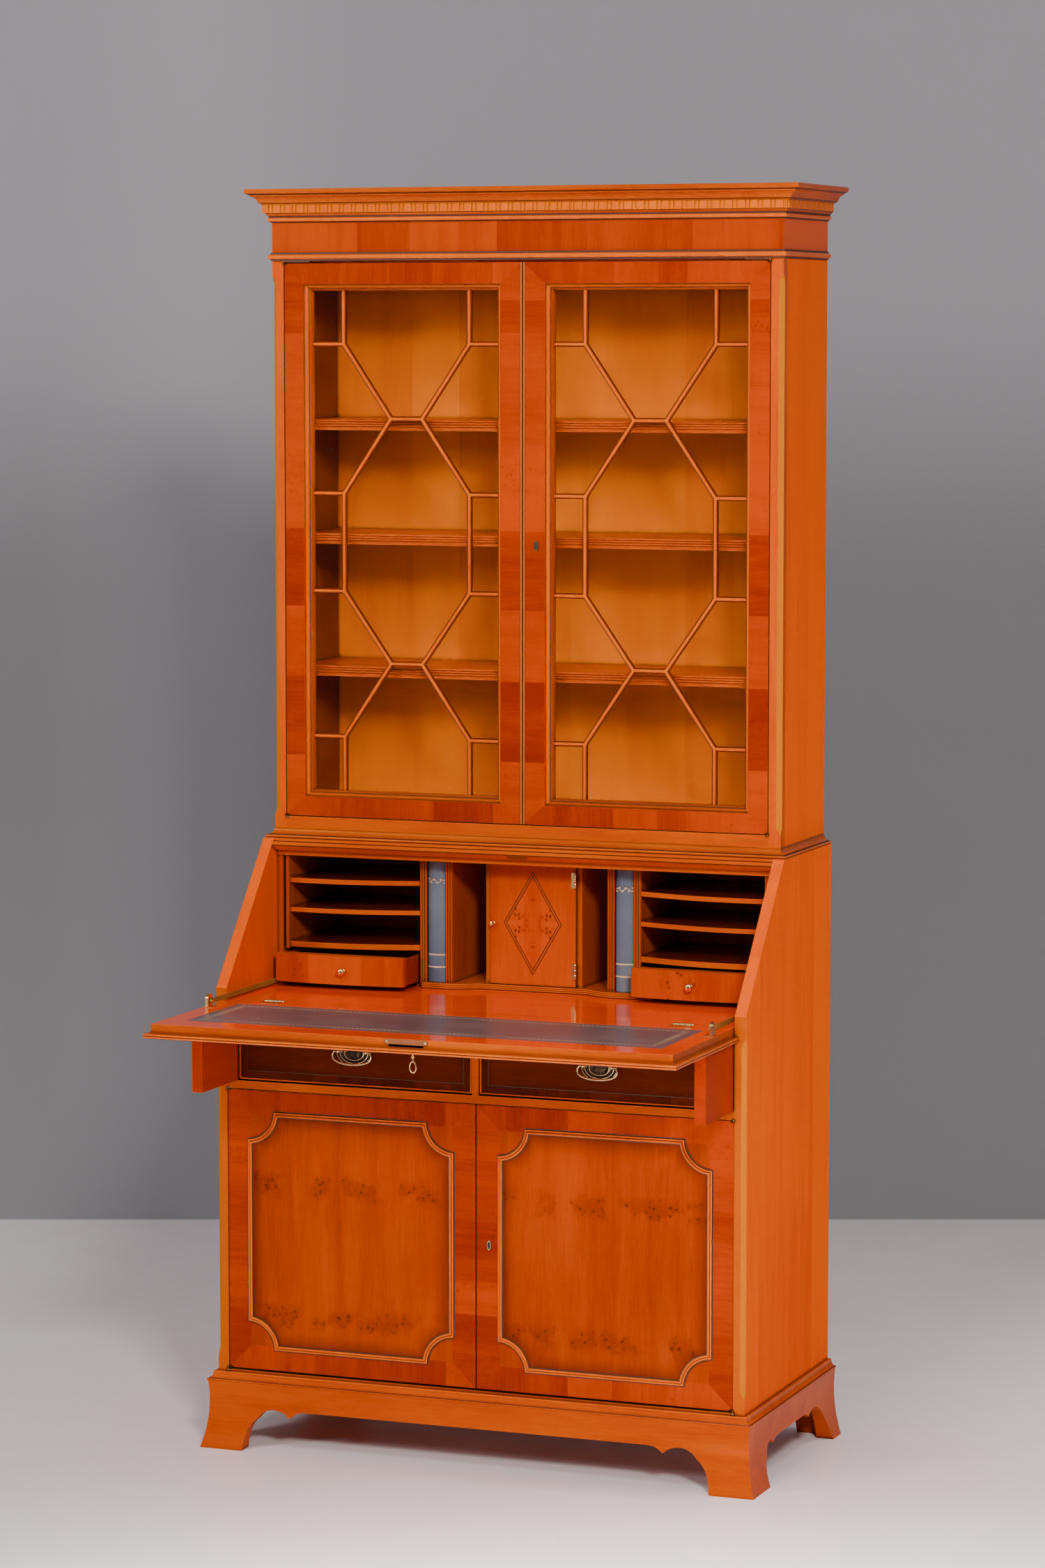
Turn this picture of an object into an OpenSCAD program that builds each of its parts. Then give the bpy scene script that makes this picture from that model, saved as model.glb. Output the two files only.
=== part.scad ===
// Secretary desk: a bureau with a sloping fall, standing under a glazed bookcase.
// X runs to the right, Y to the back and Z up, in millimetres.
// The origin is on the floor, under the middle of the whole desk with its fall open.

/* [Lower case] */
// Width of the lower case over its sides
case_w = 940; // [936:1:946]
// Depth of the lower case
case_d = 458; // [456:1:460]
// Height of the flat top of the lower case
case_top = 1021; // [1021:1:1023]
// Height of the writing surface
writing_z = 768; // [768]
// Thickness of the side panels
side_t = 19; // [18:0.5:19]
// Horizontal run of the slope, front to back
slope_run = 197; // [197]
// Height at which the slope starts
slope_z = 786.4; // [786.4]

/* [Plinth] */
// Height at which the case stands on the plinth
plinth_h = 115; // [115]
// Height of the top of the plinth moulding
plinth_top = 130.5; // [129:0.5:131]
// How far the plinth flares out at the floor
plinth_flare = 24.8; // [24:0.1:24.8]

/* [Drawers and lopers] */
// Underside of the long drawers
drawer_z = 631.2; // [631:0.1:631.4]
// Top of the long drawers
drawer_top = 743.7; // [740:0.1:743.7]
// Height of the centre of the drawer handles
handle_z = 688.5; // [680:0.5:694]
// How far the lopers stand out at rest
loper_out = 141; // [120:1:150]
// How far the left small drawer stands open at rest
left_open = 52; // [0:1:80]
// How far the right small drawer stands open at rest
right_open = 16; // [0:1:80]

/* [Fall] */
// Front edge of the fall board, in front of the case
fall_reach = 298.5; // [296:0.5:299]
// Total thickness of the fall
fall_t = 23; // [23]
// How far the lip stands out past the fall board at its free edge
lip = 11.5; // [10:0.5:11.5]

/* [Bookcase] */
// Width of the upper case
upper_w = 914; // [910:1:918]
// Front of the upper case, behind the front of the lower case
upper_front = 217; // [217]
// Top of the waist moulding, where the upper case stands
upper_base = 1039; // [1039]
// Underside of the top board of the upper case
upper_top = 2007; // [2000:1:2010]
// Height of the frieze
frieze_h = 50.5; // [48:0.5:52]
// Full height of the desk
full_h = 2128; // [2126:1:2130]

/* [Hidden] */
// Distance between the case front and the origin, so that the open desk is centred on it
lip_y = -fall_reach - lip;
origin_y = (case_d + lip_y) / 2;
side_x = case_w / 2;
in_x = side_x - side_t;
up_x = upper_w / 2;
back_t = 8;
back_y = case_d - back_t;
hinge_y = 3;
run_fit = 0.05;
// Glue line left between boards of one node, so that each board is its own solid
glue = 0.06;

// ---- Placing and shaping helpers. Everything below is drawn from the front of the lower case. ----

// Moves what is drawn from the case front to the part's own origin
module at_origin() translate([0, -origin_y, 0]) children();

// The children, and their mirror image on the left
module both_sides() {
    children();
    mirror([1, 0, 0]) children();
}

// A block between two opposite corners
module block(low, high) translate(low) cube(high - low);

// An outline drawn in X and Z, from y0 back to y1
module from_front(y0, y1) translate([0, y1, 0]) rotate([90, 0, 0]) linear_extrude(y1 - y0) children();

// An outline drawn in Y and Z, from x0 to x1
module from_side(x0, x1) translate([x0, 0, 0]) rotate([90, 0, 90]) linear_extrude(x1 - x0) children();

// An outline drawn in X and Y, from z0 to z1
module from_above(z0, z1) translate([0, 0, z0]) linear_extrude(z1 - z0) children();

// A cylinder along X
module rod_x(x0, x1, y, z, r) translate([x0, y, z]) rotate([0, 90, 0]) cylinder(h = x1 - x0, r = r, $fn = 32);

// A cylinder along Y
module rod_y(x, y0, y1, z, r) translate([x, y1, z]) rotate([90, 0, 0]) cylinder(h = y1 - y0, r = r, $fn = 32);

// A straight bar of width w between two points of an outline
module bar(a, b, w) translate(a) rotate(atan2(b[1] - a[1], b[0] - a[0]))
    translate([0, -w / 2]) square([norm(b - a), w]);

// Points of a smooth bend from a to c, pulled towards b
function bend(a, b, c, n = 6) = [for (i = [0:n]) let (t = i / n)
    (1 - t) * (1 - t) * a + 2 * t * (1 - t) * b + t * t * c];

function reversed(p) = [for (i = [len(p) - 1:-1:0]) p[i]];
function flipped(p) = [for (q = p) [-q[0], q[1]]];
function mirrored(p) = flipped(reversed(p));

// A moulding across the front and back along both sides, mitred at the front corners.
// Its profile lists [how far it stands out, height] from the top down.
module mitred(profile, half_w, front, back) {
    top = profile[0][1];
    low = profile[len(profile) - 1][1];
    right = [for (p = profile) [half_w + p[0], p[1]]];
    intersection() {
        from_front(front - 60, back) polygon(concat(right, mirrored(right)));
        from_side(-half_w - 60, half_w + 60)
            polygon(concat([for (p = profile) [front - p[0], p[1]]], [[back, low], [back, top]]));
    }
}

// The waste of a stopped chamfer on the upright corner at x, y: it fades out in a lamb's tongue
// at each end. cut is how far it goes in along the diagonal.
module stopped_chamfer(x, y, z0, z1, cut, fade) {
    steps = 6;
    low = [for (i = [0:steps]) [cut * (1 - cos(180 * i / steps)) / 2, z0 + fade * i / steps]];
    high = [for (i = [0:steps]) [cut * (1 + cos(180 * i / steps)) / 2, z1 - fade + fade * i / steps]];
    translate([x, y, 0]) rotate([0, 0, 135]) rotate([90, 0, 0]) linear_extrude(60, center = true)
        polygon(concat([[-12, z0]], low, high, [[-12, z1]]));
}

// ---- Lower case ----

module lower_sides() {
    color("peru") at_origin() both_sides() difference() {
        from_side(in_x, side_x) polygon([[0, plinth_h], [case_d, plinth_h], [case_d, case_top],
            [slope_run, case_top], [0, slope_z]]);
        stopped_chamfer(side_x, 0, 153, 755, 5.2, 20);
    }
}

shelf_z = 372;
rail_z = 617;
rail_t = 13.7;

module lower_boards() {
    color("sienna") at_origin() difference() {
        union() {
            block([-in_x, 0, plinth_h + 1], [in_x, back_y, 134]);
            block([-in_x, 40, shelf_z], [in_x, back_y, shelf_z + 16]);
            block([-in_x, 0, rail_z], [in_x, back_y, rail_z + rail_t]);
            block([-6, 0, rail_z + rail_t + glue], [6, back_y, 744.6]);
        }
        both_sides() {
            knife_leaf(lower_pivot, 132, 134.01);
            knife_leaf(lower_pivot, rail_z - 0.01, rail_z + 2);
        }
    }
}

module back_boards() {
    color("burlywood") at_origin() {
        block([-in_x, back_y, plinth_h + 1], [in_x, case_d, case_top]);
        block([-(up_x - side_t), back_y + 2, upper_base], [up_x - side_t, case_d, upper_top]);
    }
}

// Room round a hinge barrel in the edge of a board
barrel_r = 3;
barrel_x = [345, 381];
module barrel_room() both_sides() rod_x(barrel_x[0] - 0.4, barrel_x[1] + 0.4, hinge_y, writing_z, barrel_r + 0.4);

module desk_board() {
    color("peru") at_origin() difference() {
        block([-in_x, hinge_y + 0.4, writing_z - 22], [in_x, back_y, writing_z]);
        barrel_room();
    }
}

// Under the rail that the fall closes against: its face leans back, square to the slope
rail_low = [198.2, 1000.7];
rail_high = [187.5, 1009.7];

// Plate for the lock bolt, let into that face by deep and standing out of it by proud
module strike_plate(deep, proud) {
    along = (rail_high - rail_low) / norm(rail_high - rail_low);
    inward = [along[1], -along[0]];
    from_side(-18, 18) polygon([rail_low + 2.5 * along - proud * inward, rail_low + 11.5 * along - proud * inward,
        rail_low + 11.5 * along + deep * inward, rail_low + 2.5 * along + deep * inward]);
}

module fall_rail() {
    color("saddlebrown") at_origin() difference() {
        from_side(-in_x, in_x) polygon([[slope_run, case_top], [back_y, case_top], [back_y, 1004], [206, 1004],
            rail_low, rail_high]);
        strike_plate(1.2, 0.5);
    }
}

module waist_moulding() {
    profile = concat([[0, upper_base], [0, 1036.4]], bend([1, 1035.5], [2, 1027.5], [9.5, 1026.2]),
        bend([11, 1025.4], [13.6, 1023.4], [12.5, 1021]));
    color("saddlebrown") at_origin() difference() {
        mitred(profile, up_x, upper_front, case_d);
        block([-up_x + 27, upper_front + 27, 1000], [up_x - 27, case_d + 1, upper_base + 1]);
    }
}

// ---- Plinth ----

module plinth_moulding() {
    cove = bend([7.2, 124], [8.4, 119.4], [14, 119]);
    profile = concat([[6.7, plinth_top]], cove, [[15.6, 117.6], [15.6, plinth_h]]);
    color("peru") at_origin() difference() {
        mitred(profile, side_x, 0, case_d);
        block([-side_x, 0, plinth_h - 1], [side_x, case_d + 1, plinth_top + 1]);
    }
}

// Space under the front apron, right half, from the foot to the straight underside
front_arch = concat(bend([418, 0], [415, 40], [394, 55]), bend([393, 56], [382, 71], [365, 72]),
    bend([364, 72], [345, 72], [334, 60]), bend([333.5, 60.4], [322, 72], [306, 72]));
// Space under a side apron, from the front foot to the rear one
side_arch = concat(bend([65, 0], [66, 38], [78, 46]), bend([78.4, 47], [86, 68], [98, 69]),
    bend([99, 69], [112, 70], [118.6, 62]), bend([119, 62], [128, 70], [154, 70]),
    bend([291, 70], [303, 70], [309.5, 62]), bend([310, 62], [328, 72], [351, 71]),
    bend([352, 71], [396, 60], [415, 0]));

module plinth_boards() {
    flare_r = 265;
    least = plinth_flare - 13;
    steps = 10;
    profile = [for (i = [0:steps]) let (z = plinth_h * (1 - i / steps))
        [least + flare_r - sqrt(flare_r * flare_r - (z - 82) * (z - 82)), z]];
    color("peru") at_origin() difference() {
        mitred(profile, side_x, 0, case_d);
        difference() {
            block([-side_x + 6, 6, -1], [side_x - 6, case_d + 1, plinth_h + 1]);
            both_sides() block([side_x - 90, case_d - 14, -2], [side_x, case_d, plinth_h]);
        }
        from_front(-60, 12) polygon(concat([[-418, -1]], flipped(front_arch), reversed(front_arch), [[418, -1]]));
        both_sides() from_side(side_x - 12, side_x + 60)
            polygon(concat([[65, -1]], side_arch, [[415, -1]]));
        both_sides() from_front(case_d - 20, case_d + 1)
            polygon(concat([[side_x - 91, -1]], bend([side_x - 50, -1], [side_x - 54, 50], [side_x - 91, 70])));
    }
}

// ---- Writing gallery ----

bay_in = 201;
bay_out = 431;
gallery_back = 440;
gallery_top = 991;
base_h = 9.2;

// Plan of a bowed shelf: its front swells between an end on the outside and the pilaster
function bowed(bulge, steps = 12) = [for (i = [0:steps]) let (t = i / steps)
    [bay_out + (bay_in - bay_out) * t, 220 + 29 * t - bulge * sin(180 * t)]];

module gallery_boards() {
    shelves = [[942.8, 950.8], [892, 899.7], [831.3, 840.7]];
    color("peru") at_origin() {
        block([-in_x, 209, gallery_top], [in_x, gallery_back + 6, 1003.8]);
        both_sides() for (s = shelves)
            from_above(s[0], s[1]) polygon(concat(bowed(14), [[bay_in, gallery_back], [bay_out, gallery_back]]));
    }
}

module gallery_panels() {
    floor_z = writing_z + 10;
    back = gallery_back - glue;
    color("sienna") at_origin() {
        block([-in_x, gallery_back, writing_z], [in_x, gallery_back + 6, gallery_top]);
        both_sides() {
            // Flat strip on the case side, and the end panel: the stay runs in the slot between them
            block([440.4, 212, writing_z], [in_x, back, gallery_top]);
            block([bay_out, 216, 828.6 + glue], [436.8, back, gallery_top]);
            block([bay_out, 262, writing_z], [436.8, back, 828.6]);
            block([188.2, 259, floor_z], [bay_in - 0.4, back, gallery_top]);
            block([141, 259, floor_z], [153.6, back, gallery_top]);
            block([78.4, 272, floor_z], [87.4, back, gallery_top]);
        }
    }
}

// Reeded strips on each side of the document boxes
module gallery_pilasters() {
    reed = 13.2 / 3;
    color("saddlebrown") at_origin() both_sides() for (x = [187.8, 140.8])
        from_above(writing_z + 10, gallery_top) union() {
            translate([x, 250.5]) square([13.2, 8.5]);
            for (i = [0:2]) translate([x + reed * (i + 0.5), 250.8]) circle(r = reed / 2 - 0.1, $fn = 24);
        }
}

module gallery_base() {
    front = concat(bend([bay_in, 262], [bay_in, 239], [187, 239]), bend([154, 239], [128, 240], [100, 262]));
    color("peru") at_origin() {
        from_above(writing_z, writing_z + 10)
            polygon(concat(flipped(front), reversed(front), [[bay_in, gallery_back], [-bay_in, gallery_back]]));
        both_sides() block([bay_in - 1, 264, writing_z], [bay_out, gallery_back, writing_z + base_h]);
    }
}

// ---- Upper case ----

stile_w = 21;
stile_d = 22;
rail_top = 1058;
shelf_heights = [1298.5, 1525.5, 1720];
pin_y = [275, 428];
pin_r = 2.5;

module upper_sides() {
    color("peru") at_origin() both_sides() difference() {
        block([up_x - side_t, upper_front + stile_d, upper_base], [up_x, case_d, upper_top]);
        for (z = shelf_heights, y = pin_y) rod_x(up_x - side_t - 1, up_x - 8, y, z - pin_r, pin_r + run_fit);
    }
}

module upper_stiles() {
    color("peru") at_origin() both_sides() difference() {
        block([up_x - stile_w, upper_front, upper_base], [up_x, upper_front + stile_d, upper_top]);
        stopped_chamfer(up_x, upper_front, 1057, 1984, 5.6, 15);
    }
}

module upper_boards() {
    color("sienna") at_origin() difference() {
        union() {
            block([-(up_x - stile_w), upper_front, upper_base], [up_x - stile_w, upper_front + stile_d, rail_top]);
            block([-(up_x - side_t), upper_front + stile_d, 1042], [up_x - side_t, back_y + 2, rail_top]);
            block([-up_x, upper_front, upper_top], [up_x, case_d, upper_top + 14]);
        }
        both_sides() {
            knife_leaf(upper_pivot, rail_top - 2, rail_top + 0.01);
        }
    }
}

module bookcase_shelves() {
    shelf_x = up_x - side_t - 0.4;
    color("peru") at_origin() for (z = shelf_heights) {
        block([-shelf_x, 258, z], [shelf_x, back_y + 1.6, z + 18]);
        block([-shelf_x, 255, z + 6], [shelf_x, 258, z + 18]);
    }
}

module shelf_pins() {
    color("goldenrod") at_origin() both_sides() for (z = shelf_heights, y = pin_y)
        rod_x(up_x - side_t - 7, up_x - 9, y, z - pin_r, pin_r);
}

frieze_z = upper_top + 14;
cornice_z = frieze_z + frieze_h;

module frieze() {
    color("burlywood") at_origin() difference() {
        block([-up_x, upper_front, frieze_z], [up_x, case_d, cornice_z]);
        block([-up_x + 19, upper_front + 19, frieze_z - 1], [up_x - 19, case_d + 1, cornice_z + 1]);
    }
}

module astragal() {
    bead = bend([2.4, frieze_z - 2.6], [10, frieze_z - 7], [2.4, frieze_z - 11.4]);
    profile = concat([[1.6, frieze_z], [1.6, frieze_z - 2]], bead,
        [[1.6, frieze_z - 12], [1.6, upper_top]]);
    color("saddlebrown") at_origin() difference() {
        mitred(profile, up_x, upper_front, case_d);
        block([-up_x, upper_front, upper_top - 1], [up_x, case_d + 1, frieze_z + 1]);
    }
}

dentil_low = 2088;
dentil_high = 2101.6;

module cornice() {
    profile = concat([[36.3, full_h], [36.3, 2123]], bend([35.6, 2121], [34, 2118], [28.6, 2117.2]),
        bend([27.6, 2116], [20, 2112], [17.8, 2104]), [[14.2, 2102.7], [10, dentil_high], [10, dentil_low]],
        bend([9.5, 2087], [6.5, 2083], [5, 2083]), bend([6.2, 2079], [6.4, 2075], [4.5, 2072.6]), [[1.4, cornice_z]]);
    color("saddlebrown") at_origin() difference() {
        mitred(profile, up_x, upper_front, case_d);
        block([-up_x + 20, upper_front + 20, cornice_z - 1], [up_x - 20, case_d + 1, full_h + 1]);
    }
}

// A comb of dentils along X from -half to half: a wide and a narrow block by turns, on a thin back
function dentils(half, pitch, back, front) = [for (i = [0:floor(2 * half / pitch) - 1])
    let (x = -half + i * pitch)
    each [[x, back], [x, front], [x + 11.8, front], [x + 11.8, back],
        [x + 14.8, back], [x + 14.8, front], [x + pitch - 3, front], [x + pitch - 3, back]]];

module dentil_band() {
    pitch = 21.86;
    half = up_x + 13;
    run = case_d - upper_front - 1;
    strip = [[1, -1], [1, 0], [-1, 0]];
    color("peru") at_origin() {
        translate([0, upper_front - 10, 0]) from_above(dentil_low, dentil_high)
            polygon(concat(dentils(half, pitch, -1, -3.2), [for (p = strip) [p[0] * half, p[1]]]));
        both_sides() translate([up_x + 10, upper_front + run / 2 - 1, 0]) rotate([0, 0, 90])
            from_above(dentil_low, dentil_high)
            polygon(concat(dentils(run / 2, pitch, -1, -3), [for (p = strip) [p[0] * run / 2, p[1]]]));
    }
}

// ---- Knife hinges: one leaf let into the case and one into the door, on a pin in front of the door ----

upper_pivot = [435, 214.3];
lower_pivot = [450.9, -2.6];
arm_r = 2.2;
knife_pin_r = 1.2;

// Outline of a leaf, from z0 to z1
module knife_leaf(pivot, z0, z1) from_above(z0, z1) union() {
    translate([pivot[0] - 46, pivot[1] + 5]) square([40, 11]);
    bar([pivot[0] - 9, pivot[1] + 8], pivot, 3.8);
    translate(pivot) circle(r = arm_r, $fn = 24);
}

// The leaf on the case, with its pin standing out to z2
module fixed_leaf(pivot, z0, z1, z2) {
    knife_leaf(pivot, z0, z1);
    translate([pivot[0], pivot[1], min(z0, z2)]) cylinder(h = max(z1, z2) - min(z0, z2), r = knife_pin_r, $fn = 24);
}

// The leaf on the door, with the hole for that pin
module door_leaf(pivot, z0, z1) difference() {
    knife_leaf(pivot, z0, z1);
    translate([pivot[0], pivot[1], z0 - 1]) cylinder(h = z1 - z0 + 2, r = knife_pin_r + run_fit, $fn = 24);
}

door_z = [rail_top + 1.5, upper_top - 4];
low_door_z = [137, 615.5];

// Hinge leaves on the case, and the strike plate for the lock of the fall
module case_brass() {
    color("goldenrod") at_origin() {
        both_sides() {
            fixed_leaf(upper_pivot, rail_top - 2, rail_top, door_z[0] + 2);
            fixed_leaf(upper_pivot, upper_top - 2, upper_top, door_z[1] - 2);
            fixed_leaf(lower_pivot, 132, 134, low_door_z[0] + 2);
            fixed_leaf(lower_pivot, rail_z, rail_z + 2, low_door_z[1] - 2);
        }
        strike_plate(1.2, 0);
    }
}

// ---- Upper doors ----

door_x = [1, 434.5];
door_t = 26;
mould_x = [40.2, 399.7];
mould_z = [1093.5, 1967];
sight_x = [50.5, 388];
sight_z = [1104, 1957];
glass_y = upper_front + 25;

module upper_door() difference() {
    block([door_x[0], upper_front, door_z[0]], [door_x[1], upper_front + door_t, door_z[1]]);
    block([mould_x[0], upper_front - 1, mould_z[0]], [mould_x[1], upper_front + door_t + 1, mould_z[1]]);
    knife_leaf(upper_pivot, door_z[0] - 0.01, door_z[0] + 2);
    knife_leaf(upper_pivot, door_z[1] - 2, door_z[1] + 0.01);
}

// One half of the bar pattern, to the right of the middle of the pane
module half_bars(mid_x, w) {
    arm = 115;
    waist = 28.5;
    edge = sight_x[1] - mid_x + 2;
    rows = [[1866.5, 1740, 1613], [1446, 1323.5, 1196.5]];
    bar([mid_x + arm, sight_z[1] + 2], [mid_x + arm, rows[0][0]], w);
    bar([mid_x + arm, rows[0][2]], [mid_x + arm, rows[1][0]], w);
    bar([mid_x + arm, rows[1][2]], [mid_x + arm, sight_z[0] - 2], w);
    for (r = rows) {
        bar([mid_x + arm, r[0]], [mid_x + waist, r[1]], w);
        bar([mid_x + waist, r[1]], [mid_x + arm, r[2]], w);
        bar([mid_x - 1, r[1]], [mid_x + waist + 3, r[1]], w);
        for (z = [r[0], r[2]]) bar([mid_x + arm - w / 2, z], [mid_x + edge, z], w);
    }
}

// Moulding round the pane and the glazing bars
module glazing() {
    mid_x = (sight_x[0] + sight_x[1]) / 2;
    y0 = upper_front + 5;
    y1 = upper_front + 19;
    difference() {
        block([mould_x[0], y0, mould_z[0]], [mould_x[1], glass_y, mould_z[1]]);
        block([sight_x[0], y0 - 1, sight_z[0]], [sight_x[1], glass_y + 1, sight_z[1]]);
        intersection() {
            from_above(mould_z[0], mould_z[1]) polygon([[mould_x[0] - 1, y0 - 1], [mould_x[1] + 1, y0 - 1],
                [sight_x[1], y1], [sight_x[0], y1]]);
            from_side(mould_x[0], mould_x[1]) polygon([[y0 - 1, mould_z[0] - 1], [y0 - 1, mould_z[1] + 1],
                [y1, sight_z[1]], [y1, sight_z[0]]]);
        }
    }
    from_front(y1, glass_y) {
        half_bars(mid_x, 9);
        translate([2 * mid_x, 0]) mirror([1, 0]) half_bars(mid_x, 9);
    }
}

module glass() block([mould_x[0] + 4, glass_y, mould_z[0] + 4], [mould_x[1] - 4, glass_y + 3, mould_z[1] - 4]);

module upper_leaves() {
    door_leaf(upper_pivot, door_z[0], door_z[0] + 2);
    door_leaf(upper_pivot, door_z[1] - 2, door_z[1]);
}

// A shield for a keyhole on the door face at y
module escutcheon(x, y, z, w, h) from_front(y - 1, y) difference() {
    union() {
        translate([x, z + h / 2 - w / 2]) circle(d = w, $fn = 24);
        translate([x, z - h / 2 + w / 2]) circle(d = w, $fn = 24);
        translate([x - w / 2, z - h / 2 + w / 2]) square([w, h - w]);
    }
    translate([x, z + 2]) circle(d = 3.2, $fn = 24);
    translate([x - 0.8, z - 5]) square([1.6, 7]);
}

module upper_door_right() { color("peru") at_origin() upper_door(); }
module upper_door_left() { mirror([1, 0, 0]) upper_door_right(); }
module glazing_right() { color("saddlebrown") at_origin() glazing(); }
module glazing_left() { mirror([1, 0, 0]) glazing_right(); }
module glass_right() { color("lightblue") at_origin() glass(); }
module glass_left() { mirror([1, 0, 0]) glass_right(); }
module upper_brass_left() { color("goldenrod") at_origin() mirror([1, 0, 0]) upper_leaves(); }
module upper_brass_right() {
    color("goldenrod") at_origin() {
        upper_leaves();
        escutcheon(24.5, upper_front, 1530, 8, 17);
    }
}

// ---- Lower doors ----

low_door_x = [1, 450.3];
low_door_y = 2;
panel_x = [39.2, 413.9];
panel_z = [171.5, 580];

// Outline with scooped corners, inset by d
module scooped(d, r) difference() {
    translate([panel_x[0] + d, panel_z[0] + d])
        square([panel_x[1] - panel_x[0] - 2 * d, panel_z[1] - panel_z[0] - 2 * d]);
    for (x = panel_x, z = panel_z) translate([x, z]) circle(r = r + d, $fn = 48);
}

module lower_door() {
    difference() {
        block([low_door_x[0], low_door_y, low_door_z[0]], [low_door_x[1], low_door_y + 20, low_door_z[1]]);
        knife_leaf(lower_pivot, low_door_z[0] - 0.01, low_door_z[0] + 2);
        knife_leaf(lower_pivot, low_door_z[1] - 2, low_door_z[1] + 0.01);
    }
    from_front(low_door_y - 4.5, low_door_y) difference() {
        scooped(0, 48);
        scooped(8, 48);
    }
}

module lower_leaves() {
    door_leaf(lower_pivot, low_door_z[0], low_door_z[0] + 2);
    door_leaf(lower_pivot, low_door_z[1] - 2, low_door_z[1]);
}

module lower_door_right() { color("burlywood") at_origin() lower_door(); }
module lower_door_left() { mirror([1, 0, 0]) lower_door_right(); }
module lower_brass_left() { color("goldenrod") at_origin() mirror([1, 0, 0]) lower_leaves(); }
module lower_brass_right() {
    color("goldenrod") at_origin() {
        lower_leaves();
        escutcheon(23.5, low_door_y, 380.5, 8, 16);
    }
}

// ---- Fall: the flap that makes the writing surface ----

fall_x = 449.5;
lip_x = 458.6;
lip_top = writing_z - 14.4;
fall_bottom = writing_z - fall_t;
lock_y = -270;
stay_pivot = [-88, 777.6];

module flap_board() {
    color("peru") at_origin() difference() {
        union() {
            block([-fall_x, -fall_reach, lip_top + glue], [fall_x, hinge_y - 0.4, writing_z]);
            block([-lip_x, lip_y, fall_bottom], [lip_x, -1.6, lip_top]);
        }
        barrel_room();
        block([-30, -fall_reach - 1, lip_top + glue], [30, lock_y + 12, 764.6]);
        translate([0, lock_y, fall_bottom - 1]) cylinder(h = fall_t - 10, r = 3, $fn = 24);
        block([-411, -243.5, writing_z - 1.2], [411, -41, writing_z + 1]);
    }
}

module flap_leather() {
    color("darkred") at_origin() block([-411, -243.5, writing_z - 1.2], [411, -41, writing_z]);
}

// Lock let into the edge of the fall, behind a long plate with round ends
module flap_lock() {
    color("darkgoldenrod") at_origin() difference() {
        union() {
            from_front(-fall_reach - 1.2, -fall_reach) {
                translate([-33.3, 763 - 4.3]) square([66.6, 8.6]);
                both_sides_2d() translate([33.3, 763]) circle(d = 8.6, $fn = 32);
            }
            block([-29.8, -fall_reach, lip_top + 0.2], [29.8, lock_y + 11.8, 764.4]);
        }
        translate([0, lock_y, 750]) cylinder(h = 9, r = 2.05, $fn = 24);
    }
}

module both_sides_2d() {
    children();
    mirror([1, 0]) children();
}

// Barrel and leaf of each hinge, on the flap
module flap_hinges() {
    color("goldenrod") at_origin() both_sides() {
        rod_x(barrel_x[0], barrel_x[1], hinge_y, writing_z, barrel_r);
        block([barrel_x[0], -24, writing_z], [barrel_x[1], hinge_y - 2, writing_z + 0.8]);
    }
}

// Upright plate for each stay on the end of the fall, with its pivot pin
module stay_brackets() {
    color("goldenrod") at_origin() both_sides() {
        from_side(440.4, 445.3) union() {
            translate([stay_pivot[0] - 9, writing_z]) square([18, 13]);
            translate([stay_pivot[0], writing_z + 13]) circle(r = 9, $fn = 32);
        }
        block([432, stay_pivot[0] - 12, writing_z], [445.3, stay_pivot[0] + 12, writing_z + 1.6]);
        rod_x(435.5, 440.4, stay_pivot[0], stay_pivot[1], 2);
    }
}

// Flat bar that slides in the slot at the end of the gallery
module stay() from_side(437.3, 439.7) difference() {
    union() {
        translate([stay_pivot[0], stay_pivot[1] - 4.2]) square([326, 8.4]);
        for (y = [0, 326]) translate([stay_pivot[0] + y, stay_pivot[1]]) circle(r = 4.2, $fn = 32);
    }
    translate(stay_pivot) circle(r = 2 + run_fit, $fn = 24);
}

module stay_right() { color("darkgoldenrod") at_origin() stay(); }
module stay_left() { mirror([1, 0, 0]) stay_right(); }

module flap_key() {
    bow_z = 718.5;
    color("goldenrod") at_origin() {
        translate([0, lock_y, bow_z + 9]) cylinder(h = 30, r = 2, $fn = 24);
        translate([0, lock_y, bow_z + 15]) cylinder(h = 2.6, r = 3.2, $fn = 24);
        from_front(lock_y - 1.2, lock_y + 1.2) translate([0, bow_z]) difference() {
            oval(6.4, 10);
            oval(4.4, 8);
        }
    }
}

// ---- Lopers that hold up the fall ----

module loper() block([431, -loper_out, drawer_z], [449.5, 300, 744.6]);
module loper_right() { color("peru") at_origin() loper(); }
module loper_left() { mirror([1, 0, 0]) loper_right(); }

// ---- Long drawers ----

long_x = [7, 429.3];
long_y = 1;
handle_x = 218;
post_x = 25;
bail_y = long_y - 11;
bail_z = handle_z + 4;
bail_r = 1.5;

// A tray: a block with room inside, wall thick at the sides and base thick below
module tray(low, high, wall, base) difference() {
    block(low, high);
    block(low + [wall, wall, base], high + [-wall, -wall, 1]);
}

module long_drawer() {
    block([long_x[0], long_y, drawer_z + 2], [long_x[1], long_y + 20, drawer_top]);
    tray([long_x[0] + 1.2, long_y + 19, drawer_z + 0.4], [long_x[1] - 1.2, 440, drawer_top - 8], 10, 8);
}

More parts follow.
